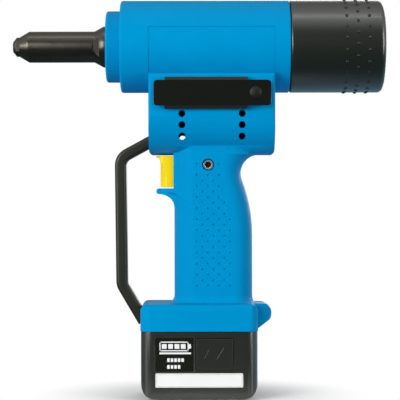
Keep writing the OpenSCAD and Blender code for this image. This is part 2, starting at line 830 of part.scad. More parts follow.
module clip_boss() {
    block(clip_flange_x0 + clip_flange_l + 1, clip_rear - 3.5, -clip_y, -drive_half_w + 0.5,
        clip_z - 6.2, clip_z + 6.2);
}

module clip_screw_hole() {
    rod_y(clip_screw_x, clip_z, -clip_y - 1, -drive_half_w + wall + 1, clip_screw_r + fit_gap);
}

module left_shell() { color(blue) shell(-1); }

module right_shell() { color(blue) shell(1); }

module housing_screws() {
    color(steel) for (s = SCREWS) {
        head_y = s[2] - screw_sink - screw_head_l;
        mirror([0, s[3] < 0 ? 1 : 0, 0]) difference() {
            union() {
                rod_y(s[0], s[1], head_y, head_y + screw_head_l, screw_head_r);
                rod_y(s[0], s[1], -s[2] + 6, head_y, screw_r);
            }
            translate([s[0], head_y + 1.4, s[1]]) rotate([-90, 0, 0])
                cylinder(h = screw_head_l, r = socket_r, $fn = 6);
        }
    }
}

// Hand guard: a flat bar swept along an upright leg, two bends and two slanted legs
module guard_section(grow) {
    t = guard_t / 2 + grow;
    w = guard_w / 2 + grow;
    r = guard_edge_r;
    polygon(soft_box(-t, -w, t, w, [r, r, r, r]));
}

module guard_bar(grow) {
    high_turn = 90 - guard_rise;
    low_turn = 90 - guard_fall;
    r = guard_bend_r;
    bend_x = guard_leg_x + r;
    high_z = guard_top_z - r * tan(high_turn / 2);
    low_z = guard_low_z + r * tan(low_turn / 2);
    high_x = bend_x - r * cos(high_turn);
    low_x = bend_x - r * cos(low_turn);
    high_l = (drive_x0 + guard_tail - high_x) / cos(guard_rise) - guard_t / 2 * tan(guard_rise);
    low_l = (-foot_x + guard_tail - low_x) / cos(guard_fall) - guard_t / 2 * tan(guard_fall);
    translate([guard_leg_x, 0, low_z]) linear_extrude(high_z - low_z) guard_section(grow);
    translate([bend_x, 0, high_z]) rotate([90, 0, 0]) rotate([0, 0, 180 - high_turn])
        rotate_extrude(angle = high_turn) translate([r, 0]) guard_section(grow);
    translate([high_x, 0, high_z + r * sin(high_turn)]) rotate([0, high_turn, 0])
        linear_extrude(high_l) guard_section(grow);
    translate([bend_x, 0, low_z]) rotate([90, 0, 0]) rotate([0, 0, 180])
        rotate_extrude(angle = low_turn) translate([r, 0]) guard_section(grow);
    translate([low_x, 0, low_z - r * sin(low_turn)]) rotate([0, 180 - low_turn, 0])
        linear_extrude(low_l) guard_section(grow);
}

module hand_guard() { color(black) guard_bar(0); }

module belt_clip() {
    rise = (clip_flange_h - clip_h) / 2 + 0.9;
    flat_h = clip_flange_h / 2 - rise;
    side = clip_t * sqrt(0.5);
    nook = clip_t * tan(22.5);
    y0 = -clip_y - clip_t;
    half = [[y0, flat_h], [y0 + rise, flat_h + rise], [y0 + rise + side, flat_h + rise - side],
        [-clip_y, flat_h - nook]];
    profile = concat(half, [for (i = [3:-1:0]) [half[i][0], -half[i][1]]]);
    color("#1d1d1a") difference() {
        union() {
            along_x(clip_flange_x0, clip_flange_x0 + clip_flange_l)
                translate([0, clip_z]) polygon(profile);
            translate([0, -clip_y - clip_t / 2, 0]) along_y(clip_t / 2)
                polygon(soft_box(clip_x0, clip_z - clip_h / 2, clip_rear, clip_z + clip_h / 2,
                    [for (i = [0:3]) clip_corner_r]));
        }
        rod_y(clip_screw_x, clip_z, y0 - 1, 0, clip_screw_r + fit_gap);
    }
}

module clip_screw() {
    head_r = 4.4;
    head_h = 1.3;
    ball_r = (pow(head_r, 2) + pow(head_h, 2)) / (2 * head_h);
    color(dark_steel) translate([clip_screw_x, -clip_y - clip_t, clip_z]) rotate([90, 0, 0]) {
        intersection() {
            translate([0, 0, head_h - ball_r]) sphere(ball_r);
            cylinder(h = head_h + 1, r = head_r);
        }
        translate([0, 0, -clip_t - clip_slot - wall]) cylinder(h = clip_t + clip_slot + wall + eps,
            r = clip_screw_r);
    }
}

// Nose: head sleeve with spanner flats and the hexagonal nosepiece
module head_sleeve() {
    flange_x = collar_x0 - sleeve_flange_l;
    rim_x = collar_x0 - sleeve_rim_l;
    flat_x = flange_x - 0.9;
    color(dark_steel) difference() {
        turned(axis_z) polygon([[shank_r + fit_gap, sleeve_x0], [sleeve_face_r, sleeve_x0],
            [sleeve_r, sleeve_x0 + sleeve_cone_l], [sleeve_r, flange_x],
            [sleeve_flange_r, rim_x], [sleeve_flange_r, collar_x0], [spigot_r, collar_x0],
            [spigot_r, spigot_x1], [sleeve_bore_r, spigot_x1],
            [sleeve_bore_r, sleeve_x0 + shank_l + 0.5], [shank_r + fit_gap, sleeve_x0 + shank_l + 0.5]]);
        for (side = [-1, 1]) {
            y = [side * sleeve_flat / 2, side * (sleeve_flange_r + 1)];
            block(flat_x, flat_x + sleeve_flat_l, min(y), max(y), axis_z - sleeve_flange_r,
                axis_z + sleeve_flange_r);
        }
    }
}

module nosepiece() {
    corner_r = nose_flat / 2 / cos(30);
    color(dark_steel) difference() {
        union() {
            intersection() {
                translate([nose_x0, 0, axis_z]) rotate([0, 90, 0])
                    cylinder(h = nose_l, r = corner_r, $fn = 6);
                turned(axis_z) polygon([[0, nose_x0], [nose_face_r, nose_x0],
                    [corner_r + 0.2, nose_x0 + nose_cone_l], [corner_r + 0.2, sleeve_x0], [0, sleeve_x0]]);
            }
            rod_x(axis_z, sleeve_x0 - eps, sleeve_x0 + shank_l, shank_r);
        }
        rod_x(axis_z, nose_x0 - 1, sleeve_x0 + shank_l + 1, nose_bore_r);
    }
}

// Frame that carries the pull from the spindle's nut to the head sleeve
module gear_plate_outline(top_r) {
    translate([0, axis_z]) circle(top_r);
    translate([0, motor_z]) circle(lobe_r);
    translate([-neck_w / 2, motor_z]) square([neck_w, gear_distance]);
}

module pull_frame() {
    color("#b4b7ba") difference() {
        union() {
            rod_x(axis_z, frame_x0, frame_step_x + eps, collar_r - wall - seat_gap);
            rod_x(axis_z, frame_step_x, frame_step_x + 6, bore_r - seat_gap);
            rod_x(axis_z, frame_step_x + 5, plate_x1, guide_flange_r);
            along_x(plate_x0, plate_x1) gear_plate_outline(bore_r - seat_gap);
        }
        rod_x(axis_z, frame_x0 - 1, spigot_x1 + 1, spigot_r + fit_gap);
        rod_x(axis_z, frame_x0, plate_x1, sleeve_bore_r);
        rod_x(axis_z, thrust_x0, plate_x1 + 1, nut_flange_r + 0.7);
        rod_x(motor_z, plate_x1 - 4, plate_x1 + 1, pinion_shaft_r + fit_gap);
    }
}

module bearing_ring(x0, x1, r0, r1) {
    race = (r1 - r0) * 0.3;
    lip = (x1 - x0) * 0.12;
    turned(axis_z) polygon([[r0, x0], [r0 + race, x0], [r0 + race, x0 + lip], [r1 - race, x0 + lip],
        [r1 - race, x0], [r1, x0], [r1, x1], [r1 - race, x1], [r1 - race, x1 - lip],
        [r0 + race, x1 - lip], [r0 + race, x1], [r0, x1]]);
}

module thrust_bearing() {
    washer = 1.2;
    r0 = spindle_r + 1;
    r1 = nut_flange_r + 0.6;
    x1 = thrust_x0 + thrust_t - fit_gap;
    color(steel) turned(axis_z) polygon([[r0, thrust_x0], [r1, thrust_x0], [r1, thrust_x0 + washer],
        [r1 - 1, thrust_x0 + washer], [r1 - 1, x1 - washer], [r1, x1 - washer], [r1, x1], [r0, x1]]);
}

module bearing_plate() {
    color("#b4b7ba") difference() {
        union() {
            along_x(cover_x0, cover_x1) gear_plate_outline(bore_r - seat_gap);
            rod_x(axis_z, cover_x0, hub_x1, guide_flange_r);
        }
        rod_x(axis_z, cover_x0 - 1, hub_x1 + 1, nut_r + 1);
        rod_x(axis_z, cover_x1, hub_x1 + 1, nut_bearing_r + fit_gap);
        rod_x(motor_z, cover_x0 - 1, cover_x1 + 1, pinion_shaft_r + fit_gap);
    }
}

module nut_bearing() {
    color(steel) bearing_ring(cover_x1, hub_x1, nut_r + fit_gap, nut_bearing_r);
}

module guide_sleeve() {
    slot_x0 = spindle_x1 - key_l - 2;
    slot_w = key_w + 2 * run_gap;
    color("#5b5f63") difference() {
        turned(axis_z) polygon([[guide_bore_r, hub_x1], [guide_flange_r, hub_x1],
            [guide_flange_r, hub_x1 + 3], [guide_r, hub_x1 + 3], [guide_r, plug_x0 + plug_recess],
            [guide_bore_r, plug_x0 + plug_recess]]);
        block(slot_x0, plug_x0 + plug_recess + 1, -guide_r - 1, guide_r + 1, axis_z - slot_w / 2,
            axis_z + slot_w / 2);
    }
}

module rear_plug() {
    groove_r = seal_ring_r - seal_r - fit_gap;
    groove_w = 2 * seal_r + 0.2;
    inner_r = spigot_rear_r - plug_wall_ring;
    wall_x = plug_x0 + plug_recess;
    color(black) turned(axis_z) polygon([[tube_r + fit_gap, wall_x], [guide_r + seat_gap, wall_x],
        [guide_r + seat_gap, plug_x0], [bore_r - seat_gap, plug_x0], [bore_r - seat_gap, barrel_x1],
        [spigot_rear_r, barrel_x1], [spigot_rear_r, seal_x - groove_w / 2],
        [groove_r, seal_x - groove_w / 2], [groove_r, seal_x + groove_w / 2],
        [spigot_rear_r, seal_x + groove_w / 2], [spigot_rear_r, plug_x1 - 1],
        [spigot_rear_r - 1, plug_x1], [inner_r, plug_x1], [inner_r, wall_x + plug_wall],
        [tube_r + fit_gap, wall_x + plug_wall]]);
}

module plug_seal() {
    color("#151515") turned(axis_z) translate([seal_ring_r, seal_x]) circle(seal_r);
}

module mandrel_tube() {
    color(steel) difference() {
        rod_x(axis_z, tube_x0, tube_x1, tube_r);
        rod_x(axis_z, tube_x0 - 1, tube_x1 + 1, tube_r - 0.6);
    }
}

// Gearmotor in the drive body
module gearbox_case() {
    color("#3c3f42") difference() {
        rod_x(motor_z, gearbox_x0, motor_x0, gearbox_r);
        rod_x(motor_z, gearbox_x0 - 1, gearbox_x0 + 10, pinion_shaft_r + fit_gap);
    }
}

module motor_case() {
    color("#9a9da0") difference() {
        rod_x(motor_z, motor_x0, motor_x1 - end_cap_l, motor_r);
        for (a = [30:60:330])
            translate([motor_x0 + 12, 0, motor_z]) rotate([a, 0, 0])
                translate([0, -2, motor_r - 1.2]) cube([14, 4, 3]);
    }
}

module motor_end_cap() {
    color(black) {
        rod_x(motor_z, motor_x1 - end_cap_l, motor_x1, motor_r);
        rod_x(motor_z, motor_x1 - eps, motor_x1 + 1.2, 6);
    }
}

// Two insulated leads from the motor down to the switch
module motor_leads() {
    bend_x = lead_x0 + lead_bend;
    bend_z = lead_z - lead_bend;
    color("#232323") for (side = [-1, 1]) translate([0, side * lead_y, 0]) {
        rod_x(lead_z, bend_x - eps, lead_x1, lead_r);
        translate([bend_x, 0, bend_z]) rotate([90, 0, 0]) rotate([0, 0, 90])
            rotate_extrude(angle = 90) translate([lead_bend, 0]) circle(lead_r);
        translate([lead_x0, 0, switch_z1]) cylinder(h = bend_z - switch_z1 + eps, r = lead_r);
    }
}

// Electrical parts in the grip
module trigger_switch() {
    color("#222222") difference() {
        block(switch_x0, switch_x0 + switch_l, -switch_half_w, switch_half_w, switch_z0, switch_z1);
        rod_x(plunger_z, switch_x0 - 1, switch_x0 + plunger_l, plunger_r + run_gap);
    }
}

module control_board() {
    color("#2f6b3d") {
        block(board_x[0], board_x[1], -board_t / 2, board_t / 2, block_top_z, board_top_z);
        for (z = [block_top_z + 8:11:board_top_z - 14])
            block(board_x[0] + 6, board_x[0] + 16, -board_t / 2 - 3, -board_t / 2 + eps, z, z + 8);
    }
}

module terminal_block() {
    color("#3a3a36") difference() {
        union() {
            block(block_x[0], block_x[1], -block_y, block_y, block_z0, block_z1);
            block(grip_x0 + 8, grip_back - 8, -12, 12, block_z1 - 1, block_top_z);
        }
        for (y = [-blade_y, 0, blade_y])
            block(blade_x[0] - run_gap, blade_x[1] + run_gap, y - blade_t / 2 - run_gap,
                y + blade_t / 2 + run_gap, block_z0 - 1, blade_z1 + 0.5);
    }
}

module trigger_spring() {
    color(steel) translate([stem_x1 + 0.1, 0, plunger_z]) rotate([0, 90, 0])
        coil(3.6, 0.4, switch_x0 - stem_x1 - 0.2, 4);
}

// Moving pull train: spindle with its key, chuck housing and jaws
module spindle() {
    thread_r = chuck_bore_r - fit_gap;
    chuck_x1 = chuck_x0 + chuck_l;
    color("#c2c5c8") turned(axis_z) polygon([[spindle_bore_r, spindle_x0], [thread_r, spindle_x0],
        [thread_r, chuck_x1], [spindle_r, chuck_x1], [spindle_r, spindle_x1 - key_l],
        [spindle_r - 1, spindle_x1 - key_l], [spindle_r - 1, spindle_x1], [spindle_bore_r, spindle_x1]]);
}

module guide_key() {
    color(dark_steel) difference() {
        union() {
            rod_x(axis_z, spindle_x1 - key_l, spindle_x1, key_r);
            block(spindle_x1 - key_l, spindle_x1, -key_r - key_lug, key_r + key_lug, axis_z - key_w / 2,
                axis_z + key_w / 2);
        }
        rod_x(axis_z, spindle_x1 - key_l - 1, spindle_x1 + 1, spindle_r - 1 + fit_gap);
    }
}

module chuck_housing() {
    chuck_x1 = chuck_x0 + chuck_l;
    color("#55595d") turned(axis_z) polygon([[chuck_mouth_r, chuck_x0], [chuck_r - 1, chuck_x0],
        [chuck_r, chuck_x0 + 1], [chuck_r, chuck_x1], [chuck_bore_r, chuck_x1],
        [chuck_bore_r, jaw_x1], [chuck_mouth_r, jaw_x0]]);
}

module jaws() {
    r0 = chuck_mouth_r - jaw_gap;
    r1 = chuck_bore_r - jaw_gap;
    color("#3f4346") difference() {
        turned(axis_z) polygon([[nose_bore_r + 0.1, jaw_x0 + 0.2], [r0, jaw_x0 + 0.2],
            [r1, jaw_x1], [nose_bore_r + 0.1, jaw_x1]]);
        for (a = [0:120:240])
            translate([jaw_x0 - 1, 0, axis_z]) rotate([a, 0, 0])
                translate([0, -0.3, 0]) cube([chuck_cone_l + 3, 0.6, chuck_bore_r + 1]);
    }
}

module jaw_pusher() {
    color(steel) turned(axis_z) polygon([[nose_bore_r + 0.6, jaw_x1], [chuck_bore_r - 0.2, jaw_x1],
        [chuck_bore_r - 0.2, pusher_x1], [pusher_stem_r, pusher_x1],
        [pusher_stem_r, spindle_x0 + 8], [nose_bore_r + 0.6, spindle_x0 + 8]]);
}

module jaw_spring() {
    mid_r = (chuck_bore_r + pusher_stem_r) / 2;
    color(steel) translate([pusher_x1 + 0.1, 0, axis_z]) rotate([0, 90, 0])
        coil(mid_r, 0.5, jaw_spring_l - 0.2, 4);
}

// Ball nut with its gear, and the pinion that drives it
module ball_nut() {
    color("#a7aaad") turned(axis_z) polygon([[spindle_r + 0.1, nut_x0], [nut_flange_r, nut_x0],
        [nut_flange_r, nut_x0 + nut_flange_t], [nut_r, nut_x0 + nut_flange_t],
        [nut_r, nut_x1], [spindle_r + 0.1, nut_x1]]);
}

module nut_gear() {
    color("#7d8185") difference() {
        along_x(gear_x0, gear_x1) translate([0, axis_z]) rotate(-90) polygon(gear_outline(nut_count));
        rod_x(axis_z, gear_x0 - 1, gear_x1 + 1, nut_r + fit_gap);
    }
}

module motor_pinion() {
    color("#7d8185") {
        along_x(gear_x0, gear_x1) translate([0, motor_z]) rotate(90 + 180 / pinion_count)
            polygon(gear_outline(pinion_count));
        rod_x(motor_z, plate_x1 - 3.5, gearbox_x0 + 9, pinion_shaft_r);
    }
}

// Trigger with its lip, and the plunger it pushes
module trigger_body(front_x, outline) {
    intersection() {
        along_y(trigger_half_w) polygon(outline);
        along_z(trigger_z0, trigger_z1) intersection() {
            translate([front_x + trigger_face_r, 0]) union() {
                circle(trigger_face_r);
                translate([0, -trigger_face_r]) square([40, 2 * trigger_face_r]);
            }
            translate([front_x, -trigger_half_w]) square([60, 2 * trigger_half_w]);
        }
    }
}

module trigger() {
    lip_x = trigger_x0 - trigger_lip;
    lip_z = trigger_z1 - 1 - trigger_lip_h;
    back_x = stop_x + stop_t;
    flange_half = trigger_half_w + 0.9;
    color("#ffd800") {
        trigger_body(trigger_x0, soft_box(trigger_x0, trigger_z0, back_x, trigger_z1, [1.2, 0, 0, 0]));
        trigger_body(lip_x, concat([[back_x - 6, lip_z], [back_x - 6, trigger_z1], [lip_x, trigger_z1]],
            arc_points(lip_x, lip_z, trigger_lip, trigger_lip_h, 90, 0)));
        block(stop_x, back_x, -flange_half, flange_half, trigger_z0, trigger_z1 - 7);
        block(back_x - eps, stem_x1, -5, 5, plunger_z - 4, plunger_z + 4);
    }
}

module switch_plunger() {
    color("#e8e6df") rod_x(plunger_z, stem_x1, switch_x0 + plunger_l - trigger_travel - 1, plunger_r);
}

// Spent mandrel container with rows of grip pips
module mandrel_container() {
    e = container_edge_r;
    q = joint_edge_r;
    color("#35373a") difference() {
        turned(axis_z) polygon(concat([[0, container_x0]],
            arc_points(barrel_r - q, container_x0 + q, q, q, -90, 0),
            arc_points(barrel_r - e, container_x1 - e, e, e, 0, 90), [[0, container_x1]]));
        turned(axis_z) polygon([[0, container_x0 - 1], [container_bore_r, container_x0 - 1],
            [container_bore_r, container_x1 - container_wall - 2],
            [container_bore_r - 2, container_x1 - container_wall], [0, container_x1 - container_wall]]);
    }
}

// Battery pack
module battery_form() {
    f = battery_floor_r;
    g = battery_floor_r * 0.5;
    c = battery_corner_r;
    x = battery_x;
    y = battery_y;
    intersection() {
        along_y(y) polygon(soft_box(-x, 0, x, battery_top_z, [f, f, 0, 0]));
        along_x(-x, x) polygon(soft_box(-y, 0, y, battery_top_z, [g, g, 0, 0]));
        along_z(0, battery_top_z) polygon(soft_box(-x, -y, x, y, [c, c, c, c]));
    }
}

module battery_cavity() {
    f = battery_floor_r - battery_wall;
    c = battery_corner_r - battery_wall;
    x = battery_x - battery_wall;
    y = battery_y - battery_wall;
    z = battery_wall * 1.2;
    top_z = battery_top_z + 1;
    intersection() {
        along_y(y) polygon(soft_box(-x, z, x, top_z, [f, f, 0, 0]));
        along_z(z, top_z) polygon(soft_box(-x, -y, x, y, [c, c, c, c]));
    }
}

module battery_tub() {
    half_w = button_w / 2 + run_gap;
    color("#2b2b26") difference() {
        battery_form();
        battery_cavity();
        along_y(battery_y + 1) polygon(soft_box(button_x - half_w, button_z - run_gap, button_x + half_w,
            button_z + button_h + run_gap, [for (r = button_corners) r + run_gap]));
        for (side = [-1, 1]) mirror([0, side > 0 ? 1 : 0, 0]) {
            block(-label_x, label_x, -battery_y - 1, -battery_y + label_depth, label_z[0], label_z[1]);
            block(-label_x, panel_x1, -battery_y - 1, -battery_y + label_depth, label_z[1] + 0.5,
                button_z + button_h + 1);
        }
    }
}

module battery_lid() {
    inner_c = battery_corner_r - battery_wall;
    z0 = battery_top_z - lid_t;
    color("#33332f") difference() {
        union() {
            along_z(z0, battery_top_z)
                polygon(soft_box(-lid_x, -lid_y, lid_x, lid_y, [inner_c, inner_c, inner_c, inner_c]));
            along_z(z0 + 1, tower_z)
                polygon(soft_box(-tower_x, -tower_y, tower_x, tower_y, [3, 3, 3, 3]));
        }
        block(-tower_x + 2, tower_x - 2, -tower_y + 2, tower_y - 2, z0 - 1, tower_z - 2);
        for (y = [-blade_y, 0, blade_y])
            block(blade_x[0] - seat_gap, blade_x[1] + seat_gap, y - blade_t / 2 - seat_gap,
                y + blade_t / 2 + seat_gap, z0, tower_z + 1);
    }
}

module cell_places() {
    for (y = [-1, 1]) for (k = [0, 1])
        translate([0, y * cell_pitch / 2, cell_low_z + k * cell_pitch]) rotate([0, 90, 0]) children();
}

module cell_holder() {
    color("#6b6f66") difference() {
        block(-holder_x, holder_x, -holder_y, holder_y, holder_z0, holder_z1);
        cell_places() cylinder(h = 2 * holder_x + 2, r = pack_r + fit_gap, center = true);
    }
}

module battery_cells() {
    color("#3f7f8c") cell_places() {
        cylinder(h = cell_l, r = pack_r, center = true);
        translate([0, 0, cell_l / 2 - eps]) cylinder(h = 1.2, r = 3);
    }
}

module battery_board() {
    half = tower_y - 4;
    color("#2f6b3d") block(-holder_x + 2, holder_x - 2, -half, half, board_z, board_z + board_t);
}

module battery_blades() {
    color("#c9a349") for (y = [-blade_y, 0, blade_y])
        block(blade_x[0], blade_x[1], y - blade_t / 2, y + blade_t / 2, board_z + board_t, blade_z1);
}

module release_button(side) {
    f = button_flange;
    half_w = button_w / 2;
    mirror([0, side > 0 ? 1 : 0, 0]) {
        translate([0, -(battery_y + button_proud + button_back_y) / 2, 0])
            along_y((battery_y + button_proud - button_back_y) / 2)
            polygon(soft_box(button_x - half_w, button_z, button_x + half_w, button_z + button_h,
                button_corners));
        block(button_x - half_w - f, button_x + half_w + f, -button_back_y - eps,
            -button_back_y + button_flange_t, button_z - f, button_z + button_h + f);
    }
}

module release_button_left() { color("#33332e") release_button(-1); }

module release_button_right() { color("#33332e") release_button(1); }

module release_spring(side) {
    y0 = holder_y + 0.05;
    mirror([0, side < 0 ? 1 : 0, 0]) translate([button_x, y0, button_z + button_h / 2])
        rotate([-90, 0, 0]) coil(4, 0.35, button_back_y - button_flange_t - y0 - 0.05, 3);
}

module release_spring_left() { color(steel) release_spring(-1); }

module release_spring_right() { color(steel) release_spring(1); }

left_shell();
right_shell();
housing_screws();
hand_guard();
belt_clip();
clip_screw();
head_sleeve();
nosepiece();
pull_frame();
thrust_bearing();
bearing_plate();
nut_bearing();
guide_sleeve();
rear_plug();
plug_seal();
mandrel_tube();
gearbox_case();
motor_case();
motor_end_cap();
motor_leads();
trigger_switch();
control_board();
terminal_block();
trigger_spring();
spindle();
guide_key();
chuck_housing();
jaws();
jaw_pusher();
jaw_spring();
ball_nut();
nut_gear();
motor_pinion();
trigger();
switch_plunger();
mandrel_container();
battery_tub();
battery_lid();
cell_holder();
battery_cells();
battery_board();
battery_blades();
release_button_left();
release_button_right();
release_spring_left();
release_spring_right();
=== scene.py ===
import json
import math

import bmesh
import bpy
from mathutils import Matrix, Vector
from mathutils.bvhtree import BVHTree


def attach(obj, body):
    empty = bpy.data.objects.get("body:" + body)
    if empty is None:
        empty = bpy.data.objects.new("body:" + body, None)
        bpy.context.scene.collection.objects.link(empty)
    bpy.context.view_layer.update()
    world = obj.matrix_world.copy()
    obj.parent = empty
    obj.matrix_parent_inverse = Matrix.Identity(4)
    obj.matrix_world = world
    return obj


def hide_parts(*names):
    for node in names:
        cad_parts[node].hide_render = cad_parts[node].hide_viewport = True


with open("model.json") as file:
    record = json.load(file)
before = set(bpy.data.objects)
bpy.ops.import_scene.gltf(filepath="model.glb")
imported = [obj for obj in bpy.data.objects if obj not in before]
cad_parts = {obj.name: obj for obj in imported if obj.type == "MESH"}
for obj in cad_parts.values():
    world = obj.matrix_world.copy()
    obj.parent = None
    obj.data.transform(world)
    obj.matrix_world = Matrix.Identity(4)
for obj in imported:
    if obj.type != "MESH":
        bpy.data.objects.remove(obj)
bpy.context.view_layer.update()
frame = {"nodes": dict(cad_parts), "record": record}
nodes = frame["nodes"]
body_of = {node: body for body, held in frame["record"]["behaviour"]["bodies"].items() for node in held}
slot_of = {part["node"]: part["material_slot"] for part in frame["record"]["subparts"]}

# Sizes of the tool are in millimetres, and MM turns them into the frame's metres
MM = 0.001
AXIS_Z = 251.0  # height of the pulling axis
GRIP_SIDE = 18.4  # half thickness of the grip
BATTERY_SIDE = 27.65  # half thickness of the battery at its flat sides
BUTTON_SIDE = 28.7  # half thickness over its two release buttons
SIDES = {"left": -1, "right": 1}  # which way each side faces along Y


# Materials

DRIFT = 16.0  # distance over which a tone drifts
GRAIN_HIGH = 0.05  # height of the grain at full strength
ROUGH_SPREAD = 0.07  # how far the grain moves the roughness either way
EDGE_SAMPLES = 6  # rays that look for an edge to show as broken


def srgb(code):
    """Linear colour of an sRGB hex code."""
    parts = [int(code[i:i + 2], 16) / 255 for i in (1, 3, 5)]
    return (*(c / 12.92 if c <= 0.04045 else ((c + 0.055) / 1.055) ** 2.4 for c in parts), 1.0)


def add(tree, kind, values=None, **links):
    """Adds a shader node, sets its plain inputs and settings, and links its others.

    An input is linked by its name, with _ for a space, or by its number after a _.
    """
    node = tree.nodes.new("ShaderNode" + kind)
    for name, value in (values or {}).items():
        if name in node.inputs:
            node.inputs[name].default_value = value
        else:
            setattr(node, name, value)
    for name, source in links.items():
        slot = int(name[1:]) if name[1:].isdigit() else name.replace("_", " ")
        tree.links.new(source, node.inputs[slot])
    return node


def surface(name, light, dark, rough, grain, bump, metal=0.0, gloss=0.5, lines=None, soft=0.5,
            tint="#FFFFFF", turned=0.0, coat=0.0):
    """A surface that drifts between two near tones, with the grain of its mould or tool.

    grain is its size in millimetres, several times a real mould's, which is too fine to show.
    lines draws the grain out into tool marks, by its sizes along X, Y and Z.
    soft is the radius in millimetres to which edges look broken, and tint the colour of the sheen.
    turned is how far lathe rings about X draw highlights out along X, and coat a clear skin on top.
    """
    material = bpy.data.materials.new(name)
    material.use_nodes = True
    tree = material.node_tree
    shader = tree.nodes["Principled BSDF"]
    place = add(tree, "TexCoord").outputs["Object"]
    drift = add(tree, "TexNoise", {"Scale": 1 / (DRIFT * MM), "Detail": 2.0}, Vector=place)
    if lines:
        stretch = [grain / size for size in lines]
        place = add(tree, "Mapping", {"Scale": stretch}, Vector=place).outputs["Vector"]
    grit = add(tree, "TexNoise", {"Scale": 1 / (grain * MM), "Detail": 3.0, "Roughness": 0.6}, Vector=place)
    tone = add(tree, "Mix", {"data_type": "RGBA"}, Factor=drift.outputs["Fac"])
    tone.inputs[6].default_value = srgb(dark)
    tone.inputs[7].default_value = srgb(light)
    tree.links.new(tone.outputs[2], shader.inputs["Base Color"])
    spread = add(tree, "MapRange", {"To Min": rough - ROUGH_SPREAD, "To Max": rough + ROUGH_SPREAD},
                 Value=grit.outputs["Fac"])
    tree.links.new(spread.outputs["Result"], shader.inputs["Roughness"])
    edge = add(tree, "Bevel", {"samples": EDGE_SAMPLES, "Radius": soft * MM})
    relief = add(tree, "Bump", {"Strength": bump, "Distance": GRAIN_HIGH * MM}, Height=grit.outputs["Fac"],
                 Normal=edge.outputs["Normal"])
    tree.links.new(relief.outputs["Normal"], shader.inputs["Normal"])
    shader.inputs["Metallic"].default_value = metal
    shader.inputs["Specular IOR Level"].default_value = gloss
    shader.inputs["Specular Tint"].default_value = srgb(tint)
    shader.inputs["Coat Weight"].default_value = coat
    shader.inputs["Coat Roughness"].default_value = rough
    if turned:
        rings = add(tree, "Tangent", {"direction_type": "RADIAL", "axis": "X"})
        tree.links.new(rings.outputs["Tangent"], shader.inputs["Tangent"])
        shader.inputs["Anisotropic"].default_value = turned
        shader.inputs["Anisotropic Rotation"].default_value = 0.25
    return material


# Moulded polyamide housing: saturated satin blue, with a spark-eroded grain that keeps highlights weak
BLUE = surface("housing_blue_polyamide", "#0092C9", "#008BC1", rough=0.52, grain=0.45, bump=0.25, gloss=0.25,
               soft=0.4, tint="#0086D8")
# Glass-filled polyamide of the guard: nearly black, with a slightly grey bloom on its broad edges
GUARD = surface("guard_black_glass_filled_polyamide", "#25261B", "#1F2016", rough=0.42, grain=0.5, bump=0.3,
                gloss=0.35)
# Moulded acetal trigger: clean yellow with a smoother, glossier skin than the housing
YELLOW = surface("trigger_yellow_acetal", "#FFE000", "#FFD800", rough=0.3, grain=0.6, bump=0.08)
# Powder-coated spring strip of the belt clip: deep black, satin, faint orange peel
CLIP = surface("clip_black_powder_coated_steel", "#11130B", "#0E0F09", rough=0.24, grain=0.6, bump=0.15,
               soft=0.3)
# Bends of the clip: the same coat, rougher, and painted lighter grey as a painted sheen where the slanted
# flanges catch light
CLIP_BEND_SHEEN = surface("clip_bend_painted_sheen_powder_coat", "#2C2C24", "#26261F", rough=0.55, grain=0.6, bump=0.25,
                    gloss=0.25, soft=0.3)
# Black oxide on the clip's screw: matt, so that the dome hardly shows
CLIP_SCREW = surface("clip_screw_black_oxide_steel", "#1A1C16", "#151711", rough=0.5, grain=0.4, bump=0.1,
                     gloss=0.2, soft=0.3)
# Black oxide on turned steel: dark brown metal with fine rings from the lathe and tight bright streaks
OXIDE = surface("nose_black_oxide_steel", "#534F47", "#47433C", rough=0.3, grain=0.4, bump=0.02, metal=0.85,
                lines=(0.5, 30, 30), soft=0.25, turned=0.6)
# Zinc-plated screw heads: bright, slightly blue metal
ZINC = surface("screw_zinc_plated_steel", "#E2E4E5", "#D2D4D6", rough=0.24, grain=0.4, bump=0.06, metal=0.75,
               soft=0.25)
# Depth of a screw's socket: the same plating, painted dark brown as painted shade in the recess
SOCKET_SHADE = surface("screw_socket_painted_shade_steel", "#4A2B20", "#2A1710", rough=0.4, grain=0.4, bump=0.1, metal=0.3,
                 gloss=0.2, soft=0.1)
# Injection-moulded ABS of the container: dark grey with a soft sheen along its length
CONTAINER = surface("container_dark_grey_abs", "#181C12", "#14180F", rough=0.3, grain=0.5, bump=0.25,
                    gloss=1.0, soft=0.4)
# Crowns of the container's pips: the same ABS, matted by the palm
PIPS = surface("pip_matted_dark_grey_abs", "#181C12", "#14180F", rough=0.45, grain=0.5, bump=0.2, gloss=0.4,
               soft=0.1)
# Battery case: warm black ABS, with a fine grain under the glossier skin of the moulding
BATTERY = surface("battery_black_abs", "#1C1D12", "#18190F", rough=0.3, grain=0.45, bump=0.3, gloss=1.0,
                  coat=0.7)
# Screen-printed film and label stock: white, matt
LABEL = surface("label_white_polyester_film", "#EEEEEB", "#E7E7E4", rough=0.5, grain=0.6, bump=0.05,
                gloss=0.2, soft=0.1)
# Thin rule printed on the label: light grey, as flat as the film
RULE = surface("label_grey_printing_ink", "#A9ABA8", "#9FA19E", rough=0.5, grain=0.6, bump=0.05, gloss=0.3,
               soft=0.1)
# Film in the case's recess: as dark as the case, but smoother, so that it mirrors more sharply
PANEL = surface("panel_black_polyester_film", "#1A1B12", "#16170F", rough=0.26, grain=0.6, bump=0.05,
                gloss=0.35, soft=0.1)
# Turned and milled aluminium of frame and plates: pale metal with cutter lines
ALUMINIUM = surface("frame_milled_aluminium", "#C4C6C8", "#B4B6B8", rough=0.32, grain=0.4, bump=0.12,
                    metal=1.0, lines=(0.5, 20, 20))
# Ground steel of spindle, nut, bearings and gears: bright grey with fine grinding lines
STEEL = surface("drive_ground_steel", "#A9ACAE", "#989B9D", rough=0.26, grain=0.3, bump=0.1, metal=1.0,
                lines=(0.4, 20, 20))
